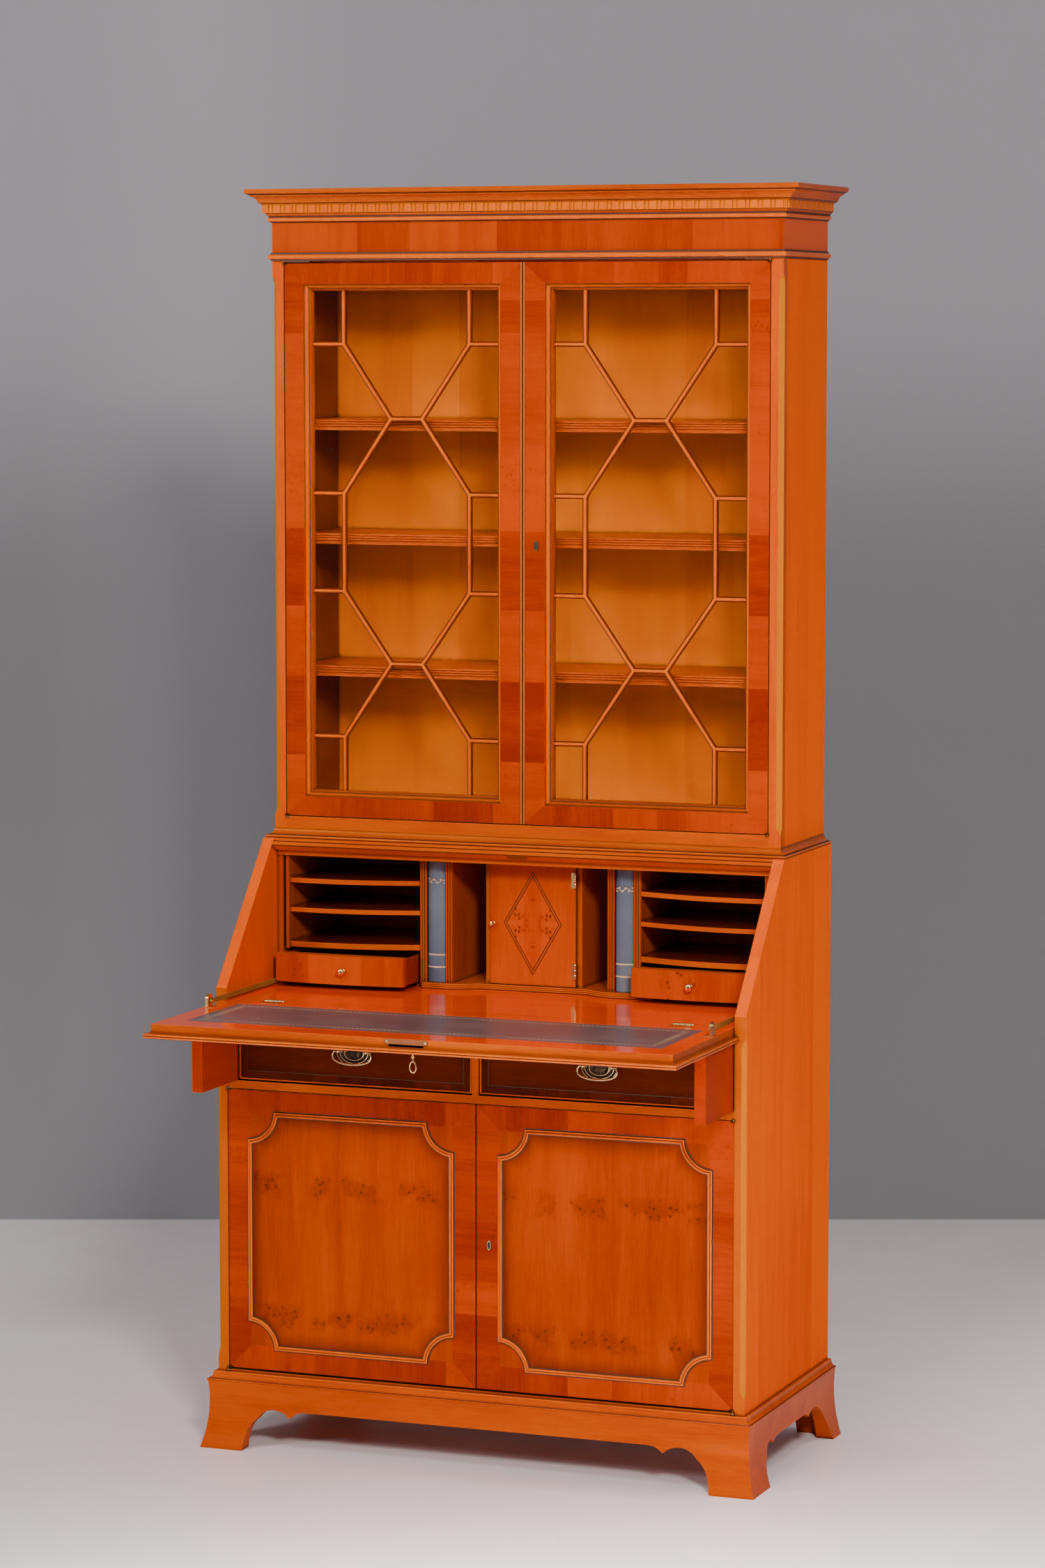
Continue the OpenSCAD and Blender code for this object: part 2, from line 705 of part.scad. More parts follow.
// Oval plate with the two posts that hold the bail
module backplate() difference() {
    union() {
        intersection() {
            from_front(long_y - 2, long_y) translate([handle_x, handle_z]) oval(31, 21);
            block([0, -40, 600], [440, 40, 760]);
        }
        for (s = [-1, 1]) rod_y(handle_x + s * post_x, bail_y - 3, long_y - 2, bail_z, 2.8);
    }
    for (s = [-1, 1]) rod_x(handle_x + s * post_x - 4, handle_x + s * post_x + 4, bail_y, bail_z, bail_r + run_fit);
}

// Oval drawn as a polygon by its formula
module oval(a, b, steps = 40) polygon([for (i = [0:steps - 1]) [a * cos(360 * i / steps), b * sin(360 * i / steps)]]);

// Bail handle, drawn round the middle of its pivots
module bail() {
    outer = concat([[31.8, 1.8], [32, -0.5]], bend([33, -2], [36.5, -6.5], [35.4, -11]),
        bend([35, -14], [31, -19.5], [16, -21.6]), [[0, -23.2]]);
    inner = concat([[0, -19.6]], bend([16, -18], [28, -16.6], [31.2, -12.5]),
        bend([32.5, -9], [32, -6], [28.9, -2]), [[28.2, 0], [28.2, 1.8]]);
    right = concat(outer, inner);
    translate([handle_x, 0, bail_z]) {
        from_front(bail_y - 1.8, bail_y + 1.8) both_sides_2d() polygon(right);
        for (s = [-1, 1]) rod_x(s * 26.2 - 5.2, s * 26.2 + 5.2, bail_y, 0, bail_r);
    }
}

module long_drawer_right() { color("peru") at_origin() long_drawer(); }
module long_drawer_left() { mirror([1, 0, 0]) long_drawer_right(); }
module backplate_right() { color("darkgoldenrod") at_origin() backplate(); }
module backplate_left() { mirror([1, 0, 0]) backplate_right(); }
module bail_right() { color("darkgoldenrod") at_origin() bail(); }
module bail_left() { mirror([1, 0, 0]) bail_right(); }

// ---- Gallery fittings ----

door_half = 77.6;
centre_y = 266;
centre_z = [779, 985];
centre_hinge = [78, 263.4];

module centre_door() {
    color("peru") at_origin() block([-door_half, centre_y, centre_z[0]], [door_half, centre_y + 14, centre_z[1]]);
}

// Knob and hinge barrels of the small centre door
module centre_brass() {
    color("goldenrod") at_origin() {
        rod_y(-71.5, centre_y - 6, centre_y, 883, 1.6);
        rod_y(-71.5, centre_y - 12, centre_y - 6, 883, 4.2);
        for (z = [792, 948]) {
            translate([centre_hinge[0], centre_hinge[1], z]) cylinder(h = 27, r = 2, $fn = 24);
            block([centre_hinge[0] - 8, centre_y - 0.7, z], [centre_hinge[0] - 1, centre_y, z + 27]);
            block([centre_hinge[0] - 2.4, centre_hinge[1], z], [centre_hinge[0] - 1, centre_y, z + 27]);
        }
    }
}

small_x = [199, 436.3];
small_z = [777.6, 827];
small_y = 222;
small_bow = 10;
knob_x = 307;
knob_z = 801;

// Small drawer with a bowed front, pulled out by open
module small_drawer(open) translate([0, -open, 0]) {
    chord = small_x[1] - small_x[0];
    middle = (small_x[0] + small_x[1]) / 2;
    bow_r = (chord * chord / 4 + small_bow * small_bow) / (2 * small_bow);
    difference() {
        from_above(small_z[0], small_z[1]) intersection() {
            translate([small_x[0], small_y - small_bow - 1]) square([chord, small_bow + 16]);
            translate([middle, small_y - small_bow + bow_r]) circle(r = bow_r, $fn = 144);
        }
        rod_y(knob_x, small_y - small_bow - 1, small_y - small_bow + 1.6, knob_z, 2.6);
    }
    tray([bay_in + 2, small_y + 14, small_z[0]], [bay_out - 1, 432, small_z[1] - 4], 6, 5);
}

module knob(open) translate([knob_x, small_y - small_bow - open, knob_z]) rotate([90, 0, 0]) {
    translate([0, 0, -1.5]) cylinder(h = 9, r = 2.6, $fn = 24);
    translate([0, 0, 7]) cylinder(h = 6.5, r = 7, $fn = 32);
}

module small_drawer_left() { color("burlywood") at_origin() mirror([1, 0, 0]) small_drawer(left_open); }
module small_drawer_right() { color("burlywood") at_origin() small_drawer(right_open); }
module knob_left() { color("goldenrod") at_origin() mirror([1, 0, 0]) knob(left_open); }
module knob_right() { color("goldenrod") at_origin() knob(right_open); }

box_x = [154.5, 187.3];
box_z = [778.6, 985];
spine_y = 249;

// Narrow box that pulls out behind a false book spine
module document_box() difference() {
    block([box_x[0], spine_y + 8, box_z[0]], [box_x[1], 430, box_z[1]]);
    block([box_x[0] + 4, spine_y + 14, box_z[0] + 5], [box_x[1] - 4, 426, box_z[1] + 1]);
}

module book_spine() from_above(box_z[0], box_z[1]) intersection() {
    translate([box_x[0], spine_y - 1]) square([box_x[1] - box_x[0], 9]);
    translate([(box_x[0] + box_x[1]) / 2, spine_y + 24]) circle(r = 24, $fn = 64);
}

module document_box_right() { color("sienna") at_origin() document_box(); }
module document_box_left() { mirror([1, 0, 0]) document_box_right(); }
module book_spine_right() { color("slategray") at_origin() book_spine(); }
module book_spine_left() { mirror([1, 0, 0]) book_spine_right(); }

// ---- The nodes ----

lower_sides();
lower_boards();
back_boards();
desk_board();
fall_rail();
waist_moulding();
plinth_moulding();
plinth_boards();
gallery_boards();
gallery_panels();
gallery_pilasters();
gallery_base();
upper_sides();
upper_stiles();
upper_boards();
bookcase_shelves();
shelf_pins();
frieze();
astragal();
cornice();
dentil_band();
case_brass();
flap_board();
flap_leather();
flap_lock();
flap_hinges();
stay_brackets();
stay_left();
stay_right();
flap_key();
loper_left();
loper_right();
long_drawer_left();
long_drawer_right();
backplate_left();
backplate_right();
bail_left();
bail_right();
upper_door_left();
upper_door_right();
glazing_left();
glazing_right();
glass_left();
glass_right();
upper_brass_left();
upper_brass_right();
lower_door_left();
lower_door_right();
lower_brass_left();
lower_brass_right();
centre_door();
centre_brass();
small_drawer_left();
small_drawer_right();
knob_left();
knob_right();
document_box_left();
document_box_right();
book_spine_left();
book_spine_right();
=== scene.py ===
import math

import bmesh
import bpy
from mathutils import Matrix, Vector


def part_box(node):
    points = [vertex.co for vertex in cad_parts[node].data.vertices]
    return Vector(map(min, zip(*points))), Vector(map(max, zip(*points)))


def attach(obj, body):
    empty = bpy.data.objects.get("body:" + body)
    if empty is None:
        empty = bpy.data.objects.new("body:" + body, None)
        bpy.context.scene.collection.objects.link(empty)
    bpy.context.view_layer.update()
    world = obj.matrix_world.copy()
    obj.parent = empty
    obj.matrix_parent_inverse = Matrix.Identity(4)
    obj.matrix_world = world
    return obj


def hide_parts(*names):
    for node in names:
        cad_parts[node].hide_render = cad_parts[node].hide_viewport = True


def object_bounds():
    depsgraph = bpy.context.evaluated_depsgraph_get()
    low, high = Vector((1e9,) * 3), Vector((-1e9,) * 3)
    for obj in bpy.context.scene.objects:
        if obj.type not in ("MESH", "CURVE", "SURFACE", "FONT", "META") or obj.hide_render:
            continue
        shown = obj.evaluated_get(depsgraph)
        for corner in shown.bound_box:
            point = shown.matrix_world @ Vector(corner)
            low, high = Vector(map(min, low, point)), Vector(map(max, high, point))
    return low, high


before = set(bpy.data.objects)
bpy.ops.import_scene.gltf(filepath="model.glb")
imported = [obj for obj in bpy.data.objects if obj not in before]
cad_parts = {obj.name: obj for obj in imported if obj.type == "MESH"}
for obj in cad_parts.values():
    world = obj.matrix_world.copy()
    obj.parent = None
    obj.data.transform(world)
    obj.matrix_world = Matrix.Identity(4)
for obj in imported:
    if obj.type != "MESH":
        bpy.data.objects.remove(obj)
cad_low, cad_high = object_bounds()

# ---- Where things are. Millimetres, measured from the front of the lower case at the middle of the desk ----

MM = 0.001
CASE_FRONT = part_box("lower_sides")[0][1]


def place(point):
    """A point in the row frame, from millimetres: x from the middle, y back from the case front, z up."""
    x, y, z = point
    return (x * MM, CASE_FRONT + y * MM, z * MM)


def extent(node):
    """The low and high corners of a CAD node, in millimetres from the case front."""
    low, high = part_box(node)
    return ([low[0] / MM, (low[1] - CASE_FRONT) / MM, low[2] / MM],
            [high[0] / MM, (high[1] - CASE_FRONT) / MM, high[2] / MM])


# ---- Materials ----

AXES = {"x": 0, "y": 1, "z": 2}
PALE_WORN_AND_HIGHLIT_EDGE = (0.66, 0.17)
ALONG_GRAIN = 0.09  # how much the figure is drawn out along the grain


def shaded(colour, share):
    return tuple(share * c for c in colour)


class Graph:
    """A new material, and short calls for building its shader. A colour is (red, green, blue), or (red, green) where
    there is no blue, as in polished yew."""

    def __init__(self, name):
        self.mat = bpy.data.materials.new(name)
        self.mat.use_nodes = True
        self.nodes, self.links = self.mat.node_tree.nodes, self.mat.node_tree.links
        self.shader = self.nodes["Principled BSDF"]

    def feed(self, name, value):
        self.put(self.shader.inputs[name], value)

    def blend_shaders(self, share, other):
        """Shows the other shader in place of the main one where share is 1."""
        either = self.nodes.new("ShaderNodeMixShader")
        for socket, value in zip(either.inputs, (share, self.shader.outputs["BSDF"], other.outputs["BSDF"])):
            self.put(socket, value)
        self.put(self.nodes["Material Output"].inputs["Surface"], either.outputs["Shader"])

    def put(self, socket, value):
        if isinstance(value, bpy.types.NodeSocket):
            self.links.new(value, socket)
        elif socket.type == "RGBA":
            socket.default_value = (*value, 0.0, 1.0) if len(value) == 2 else (*value, 1.0)
        else:
            socket.default_value = value

    def node(self, kind, **inputs):
        node = self.nodes.new("ShaderNode" + kind)
        for name, value in inputs.items():
            self.put(node.inputs[name], value)
        return node

    def math(self, operation, a, b=0.0, c=0.0):
        node = self.nodes.new("ShaderNodeMath")
        node.operation = operation
        for socket, value in zip(node.inputs, (a, b, c)):
            self.put(socket, value)
        return node.outputs[0]

    def add(self, a, b):
        return self.math("ADD", a, b)

    def sub(self, a, b):
        return self.math("SUBTRACT", a, b)

    def mul(self, a, b):
        return self.math("MULTIPLY", a, b)

    def size(self, a):
        return self.math("ABSOLUTE", a)

    def place(self):
        return self.nodes.new("ShaderNodeTexCoord").outputs["Object"]

    def split(self, vector):
        return self.node("SeparateXYZ", Vector=vector).outputs

    def join(self, x, y, z):
        return self.node("CombineXYZ", X=x, Y=y, Z=z).outputs[0]

    def scaled(self, vector, scale):
        return self.node("Mapping", Vector=vector, Scale=scale).outputs[0]

    def noise(self, vector, scale, detail=3.0, roughness=0.5, distortion=0.0):
        return self.node("TexNoise", Vector=vector, Scale=scale, Detail=detail, Roughness=roughness,
                         Distortion=distortion).outputs["Fac"]

    def cells(self, vector, scale):
        return self.node("TexVoronoi", Vector=vector, Scale=scale).outputs["Distance"]

    def chance(self, value):
        node = self.nodes.new("ShaderNodeTexWhiteNoise")
        node.noise_dimensions = "1D"
        self.put(node.inputs["W"], value)
        return node.outputs["Value"]

    def ramp(self, value, low, high, out_low=0.0, out_high=1.0):
        node = self.nodes.new("ShaderNodeMapRange")
        node.interpolation_type = "SMOOTHSTEP"
        for name, v in (("Value", value), ("From Min", low), ("From Max", high), ("To Min", out_low),
                        ("To Max", out_high)):
            self.put(node.inputs[name], v)
        return node.outputs[0]

    def mix(self, share, a, b):
        node = self.nodes.new("ShaderNodeMix")
        node.data_type = "RGBA"
        self.put(node.inputs["Factor"], share)
        self.put(node.inputs["A"], a)
        self.put(node.inputs["B"], b)
        return node.outputs["Result"]

    def nearness(self, distance, inside=False):
        """How open the surroundings are within a distance: low in corners, or at sharp edges when measured inside."""
        node = self.nodes.new("ShaderNodeAmbientOcclusion")
        node.samples, node.inside, node.only_local = 6, inside, inside
        node.inputs["Distance"].default_value = distance
        return node.outputs["AO"]

    def bump(self, height, strength, distance=0.0005):
        return self.node("Bump", Strength=strength, Distance=distance, Height=height).outputs["Normal"]


def yew(name, light, dark, grain, strip=None, knots=0.0, seed=0.0, gloss=0.28, contrast=1.0, shine=0.10,
        edge_wear_and_highlight=0.5, chamfer=None, top=None, panel=None, rows=None, mirror=None, painted_shade_bands=(),
        leafy=0.26, front=None, painted_inward_shade=None, painted_outward_light=None, painted_top_shadow=None, painted_corner_shade=0.92):
    """Polished yew, between a light and a dark colour.

    grain is the axis it runs along, and seed sets its place in the figure. strip gives (axis, width) of the leaves of
    veneer that it is laid in, each a little lighter or darker by leafy. contrast is how strong the grain is.
    knots is how strong the pips of the burr are, rows the two heights that they gather at, mirror the (x, z) that
    they are matched about. gloss and shine are its roughness and its mirror-like part.
    edge_wear_and_highlight is how pale sharp edges are, partly rubbed wear and partly painted highlight, and
    painted_corner_shade how much shade is painted into corners. painted_top_shadow gives the heights over which a
    painted shadow grows dark, and painted_shade_bands the heights between which bands of painted shade stand in for
    the quirks of a moulding.
    chamfer is the colour of faces that look sideways and forwards, top of those that look up (painted shade on the
    gallery shelves), front of those that look forwards, painted_inward_shade and painted_outward_light of those that
    look towards the middle of the desk and away from it: painted shade on faces turned inward, painted light on faces
    turned outward.
    panel shades a field towards its edges: (middle x, half width, middle z, half height, width of the shading, radius
    of its scooped corners), with x measured on either side of the desk."""
    g = Graph(name)
    xyz = list(g.split(g.place()))
    at_x, at_z = xyz[0], xyz[2]
    if mirror:
        xyz[0] = g.size(g.sub(xyz[0], mirror[0] * MM))
        xyz[2] = g.size(g.sub(xyz[2], mirror[1] * MM))
    stretch = [1.0, 1.0, 1.0]
    stretch[AXES[grain]] = ALONG_GRAIN
    where = g.join(*[g.add(xyz[i], seed * (i + 1)) for i in range(3)])
    shade = 0.5
    if strip:
        axis, width = strip
        x = xyz[AXES[axis]]
        wander = g.mul(g.math("SINE", g.mul(x, 23.0)), 0.3 * width)
        leaf = g.math("FLOOR", g.math("DIVIDE", g.add(x, wander), width))
        shade = g.chance(g.add(leaf, seed))
        where = g.join(*[g.add(xyz[i], g.mul(shade, 0.8 + 0.3 * i)) for i in range(3)])
    figure = g.noise(g.scaled(where, tuple(4.5 * s for s in stretch)), 4.0, 4.0, 0.55, 1.2)
    lines = g.noise(g.scaled(where, tuple(30 * s for s in stretch)), 9.0, 3.0, 0.6)
    fine = g.noise(g.scaled(where, tuple(130 * s for s in stretch)), 9.0, 2.0, 0.6)
    cloud = g.noise(where, 3.2, 2.0, 0.5)
    share = g.add(g.mul(figure, 0.50 * contrast), g.mul(lines, 0.24 * contrast))
    share = g.add(share, g.mul(fine, 0.12 * contrast))
    share = g.add(share, g.mul(cloud, 0.36))
    share = g.add(share, g.mul(g.sub(shade, 0.5), leafy if strip else 0.0))
    share = g.ramp(share, 0.36, 0.90 if contrast > 0.8 else 0.84)
    colour = g.mix(share, light, dark)
    if chamfer or top or front or painted_inward_shade or painted_outward_light:
        facing = g.split(g.nodes.new("ShaderNodeTexCoord").outputs["Normal"])
        if chamfer:
            slant = g.ramp(g.size(g.mul(facing[0], facing[1])), 0.28, 0.42)
            colour = g.mix(slant, colour, chamfer)
        # Faces that look up take the top colour; on the gallery shelves this is painted shade.
        if top:
            colour = g.mix(g.ramp(facing[2], 0.6, 0.9), colour, top)
        if front:
            colour = g.mix(g.ramp(facing[1], -0.90, -0.98), colour, front)
        # Faces turned towards the middle get painted shade, faces turned away get painted light.
        for look, sign in ((painted_inward_shade, -1), (painted_outward_light, 1)):
            if look:
                away = g.mul(facing[0], g.math("SIGN", at_x))
                colour = g.mix(g.ramp(away, 0.6 * sign, 0.9 * sign), colour, look)
    # Painted shadow, growing darker towards the upper of the two heights.
    if painted_top_shadow:
        colour = g.mix(g.ramp(at_z, painted_top_shadow[0] * MM, painted_top_shadow[1] * MM, 0.0, 0.85), colour, shaded(dark, 0.15))
    if knots:
        warp = g.noise(where, 14.0, 3.0)
        bent = g.join(g.add(xyz[0], g.mul(warp, 0.02)), xyz[1], g.add(xyz[2], g.mul(warp, 0.03)))
        pips = g.ramp(g.cells(bent, 105.0), 0.26, 0.10)
        patch = g.ramp(g.noise(where, 11.0, 2.0, 0.5), 0.44 if mirror else 0.54, 0.54 if mirror else 0.66)
        if rows:
            near = [g.ramp(g.size(g.sub(at_z, height * MM)), 0.030, 0.004) for height in rows]
            patch = g.mul(g.math("MAXIMUM", near[0], near[1]), g.ramp(g.noise(where, 17.0, 2.0, 0.5), 0.46, 0.56))
            colour = g.mix(g.mul(patch, 0.30), colour, shaded(dark, 0.5))
        halo = g.ramp(g.cells(bent, 105.0), 0.7, 0.1)
        colour = g.mix(g.mul(g.mul(halo, patch), 0.45 * knots), colour, shaded(dark, 0.55))
        colour = g.mix(g.mul(g.mul(pips, patch), 0.9 * knots), colour, shaded(dark, 0.16))
    if panel:
        mid_x, half_x, mid_z, half_z, width, scoop = [v * MM for v in panel]
        off_x = g.sub(g.size(g.sub(g.size(at_x), mid_x)), half_x)
        off_z = g.sub(g.size(g.sub(at_z, mid_z)), half_z)
        reach = g.math("SQRT", g.add(g.mul(off_x, off_x), g.mul(off_z, off_z)))
        near = g.math("MAXIMUM", g.math("SMOOTH_MAX", off_x, off_z, 0.02), g.sub(scoop, reach))
        edge = g.mul(g.ramp(near, -width, 0.006), g.math("GREATER_THAN", reach, scoop))
        colour = g.mix(g.mul(edge, 0.80), colour, shaded(dark, 0.22))
    # Bands of painted shade between the given heights.
    for low, high in painted_shade_bands:
        inside = g.mul(g.math("GREATER_THAN", at_z, low * MM), g.math("LESS_THAN", at_z, high * MM))
        colour = g.mix(inside, colour, shaded(dark, 0.12))
    # Painted shade in corners and creases, from how enclosed each point is.
    colour = g.mix(g.ramp(g.nearness(0.008), 0.84, 0.40, 0.0, painted_corner_shade), colour, shaded(dark, 0.10))
    # Pale sharp edges: partly rubbed wear, partly painted highlight.
    colour = g.mix(g.ramp(g.nearness(0.0022, True), 0.62, 0.30, 0.0, edge_wear_and_highlight), colour, PALE_WORN_AND_HIGHLIT_EDGE)
    g.feed("Base Color", colour)
    g.feed("Roughness", g.ramp(fine, 0.2, 0.9, gloss, gloss + 0.10))
    g.feed("Normal", g.bump(lines, 0.05))
    g.feed("Specular IOR Level", shine)
    g.feed("Specular Tint", (1.0, 0.42, 0.06))
    return g.mat


def metal(name, bright, tarnish, amount, roughness, grain=160.0):
    """Brass with some tarnish in soft patches."""
    g = Graph(name)
    spots = g.noise(g.place(), grain, 4.0, 0.6)
    share = g.ramp(spots, 0.75 - amount * 0.5, 0.95 - amount * 0.4)
    g.feed("Base Color", g.mix(share, bright, tarnish))
    g.feed("Roughness", g.ramp(spots, 0.3, 0.8, roughness, roughness + 0.15))
    g.feed("Metallic", 1.0)
    return g.mat


def hide(name, colour, second, roughness=0.42):
    """Fine dyed leather."""
    g = Graph(name)
    grain = g.cells(g.place(), 900.0)
    cloud = g.noise(g.place(), 9.0, 4.0, 0.6)
    g.feed("Base Color", g.mix(g.ramp(cloud, 0.3, 0.75), colour, second))
    g.feed("Roughness", g.ramp(cloud, 0.2, 0.8, roughness, roughness + 0.12))
    g.feed("Normal", g.bump(grain, 0.25, 0.0002))
    return g.mat


def plain(name, colour, roughness, spread=0.15):
    """A matt surface with a slight cloudiness."""
    g = Graph(name)
    cloud = g.noise(g.place(), 12.0, 3.0)
    g.feed("Base Color", g.mix(g.ramp(cloud, 0.3, 0.7), colour, tuple(c * (1 - spread) for c in colour)))
    g.feed("Roughness", roughness)
    return g.mat


HONEY, AMBER = (0.56, 0.080), (0.32, 0.027)
MOULD_LIGHT, MOULD_DARK = (0.50, 0.080), (0.27, 0.024)
BAND_LIGHT, BAND_DARK = (0.43, 0.040), (0.20, 0.010)

YEW_X = yew("yew_across", HONEY, AMBER, "x", seed=1.7)
GOLD = (0.56, 0.150)
EDGE = (0.46, 0.075)
SIDE = yew("yew_side", (0.84, 0.108), (0.62, 0.058), "z", strip=("y", 0.10), seed=2.1, contrast=0.75, shine=0.0,
           chamfer=GOLD, front=EDGE)
# The inner faces of the bookcase sides carry painted shade.
SIDE_UP = yew("yew_upper_side", (0.84, 0.108), (0.62, 0.058), "z", strip=("y", 0.10), seed=2.4, contrast=0.75,
              shine=0.0,
              front=EDGE, painted_inward_shade=(0.15, 0.022))
STILE = yew("yew_stile", (0.62, 0.085), (0.42, 0.036), "z", seed=3.3, chamfer=GOLD)
# The shelves' upper faces are painted near-black: painted shade inside the pigeonholes.
SHELF = yew("gallery_shelf", (0.62, 0.095), (0.36, 0.030), "x", seed=8.8, shine=0.4, gloss=0.12, top=(0.115, 0.010))
MOULD_X = yew("moulding_across", MOULD_LIGHT, MOULD_DARK, "x", seed=4.4, shine=0.4)
MOULD_Z = yew("moulding_upright", MOULD_LIGHT, MOULD_DARK, "z", seed=5.1, shine=0.4)
BAND_X = yew("crossband_rail", BAND_LIGHT, BAND_DARK, "z", strip=("x", 0.075), knots=0.3, seed=6.3)
BAND_Z = yew("crossband_stile", BAND_LIGHT, BAND_DARK, "x", strip=("z", 0.085), knots=0.3, seed=7.9)
# The frieze's end faces are painted lighter: painted light.
FRIEZE = yew("frieze_band", (0.40, 0.042), (0.21, 0.013), "z", strip=("x", 0.062), seed=10.7, leafy=0.30,
             painted_outward_light=(0.62, 0.072))
BURR = yew("burr_panel", (0.39, 0.046), (0.20, 0.014), "z", knots=0.9, seed=11.3,
           panel=(226.6, 187, 375.8, 204, 40, 45), rows=(457, 232))
BURR_FINE = yew("burr_diamond", (0.66, 0.084), (0.42, 0.028), "z", knots=1.0, seed=12.6, mirror=(0, 885))
FLAP_TOP = yew("fall_field", (0.98, 0.084), (0.76, 0.042), "x", seed=13.8, gloss=0.06, shine=0.5)
DRAWER = yew("drawer_veneer", (0.105, 0.011), (0.042, 0.0035), "x", knots=0.2, seed=15.5,
             panel=(219, 216, 687.5, 56, 34, 0))
DRAWER_BAND = yew("drawer_band", (0.085, 0.009), (0.036, 0.003), "z", strip=("x", 0.06), seed=16.2)
SMALL = yew("small_drawer_veneer", (0.54, 0.062), (0.32, 0.022), "z", strip=("x", 0.055), knots=1.0, seed=18.4)
INNER = yew("inner_wood", (0.34, 0.030), (0.17, 0.011), "x", seed=19.1, gloss=0.35)
# The bookcase back darkens towards its top: painted shadow under the top.
BACK = yew("bookcase_back", (0.54, 0.112), (0.36, 0.048), "z", strip=("x", 0.16), seed=21.7, gloss=0.35, contrast=0.7,
           leafy=0.12, painted_top_shadow=(1935, 1992))
# Near-black for the quirks and the lines beside beads and mouldings: painted shade.
PAINTED_SHADE_LINE = plain("painted_shade_line", (0.060, 0.010, 0.001), 0.45)
BEAD = yew("bead_highlight", (0.68, 0.118), (0.48, 0.054), "z", seed=20.4, shine=0.5, painted_corner_shade=0.25)
STRING = plain("dark_string", (0.022, 0.008, 0.004), 0.3)
SHADOW = plain("dark_gap", (0.012, 0.005, 0.003), 0.6)
BRASS = metal("polished_brass", (0.84, 0.56, 0.22), (0.46, 0.25, 0.07), 0.25, 0.16)
OLD_BRASS = metal("antique_brass", (0.60, 0.42, 0.20), (0.34, 0.21, 0.08), 0.40, 0.24, 60.0)
PLATE = metal("plate_bronze", (0.060, 0.040, 0.024), (0.03, 0.018, 0.010), 0.6, 0.34, 70.0)
BRONZE = plain("lock_bronze", (0.24, 0.075, 0.018), 0.28, 0.4)
LEATHER = hide("writing_leather", (0.105, 0.078, 0.084), (0.155, 0.104, 0.106), 0.28)
SPINE = hide("spine_leather", (0.085, 0.110, 0.155), (0.125, 0.150, 0.185), 0.40)
DULL_BRASS = plain("stay_brass", (0.30, 0.165, 0.035), 0.30, 0.3)
HINGE = metal("hinge_bronze", (0.10, 0.045, 0.015), (0.04, 0.018, 0.006), 0.6, 0.45)
GILT = plain("gilt", (0.78, 0.56, 0.30), 0.35, 0.45)


def pane():
    """Clear window glass."""
    g = Graph("pane_glass")
    g.feed("Roughness", g.ramp(g.noise(g.place(), 3.0), 0.3, 0.8, 0.0, 0.012))
    g.feed("Base Color", (0.97, 0.985, 0.98))
    g.feed("Transmission Weight", 1.0)
    g.feed("IOR", 1.22)
    lets_lamps_in = g.nodes.new("ShaderNodeBsdfTransparent")
    g.put(lets_lamps_in.inputs["Color"], (0.95, 0.97, 0.96))
    g.blend_shaders(g.nodes.new("ShaderNodeLightPath").outputs["Is Shadow Ray"], lets_lamps_in)
    return g.mat


LOPER = yew("loper_wood", (0.38, 0.030), (0.24, 0.011), "y", seed=24.8)
DEEP = yew("bookcase_shelf", (0.36, 0.044), (0.17, 0.012), "x", seed=29.6, shine=0.4)
GLASS = pane()
# Two bands of painted shade stand in for the quirks of the rail's moulding.
RAIL = yew("fall_rail_wood", (0.62, 0.095), (0.38, 0.034), "x", seed=25.3, shine=0.3,
           painted_shade_bands=((1008.8, 1010.6), (1015.6, 1017.0)))
DENTIL = yew("dentil_wood", (0.70, 0.130), (0.52, 0.070), "z", seed=26.9, painted_corner_shade=0.4)
# Near-black for the face behind the dentils: painted shade.
DENTIL_SHADE = plain("dentil_painted_shade", (0.050, 0.005), 0.6)
# Dark colour for the sides of the glazing bars: painted shade.
BAR_SHADE = yew("bar_side_painted_shade", (0.20, 0.016), (0.10, 0.006), "z", seed=27.7, edge_wear_and_highlight=0.0)
LEAF = yew("gallery_door_veneer", (0.60, 0.080), (0.40, 0.034), "z", seed=28.2, edge_wear_and_highlight=0.0)


# ---- Building meshes ----

def upright(x, y, z):
    """Corners of a flat upright rectangle at depth y."""
    return [(x[0], y, z[0]), (x[1], y, z[0]), (x[1], y, z[1]), (x[0], y, z[1])]


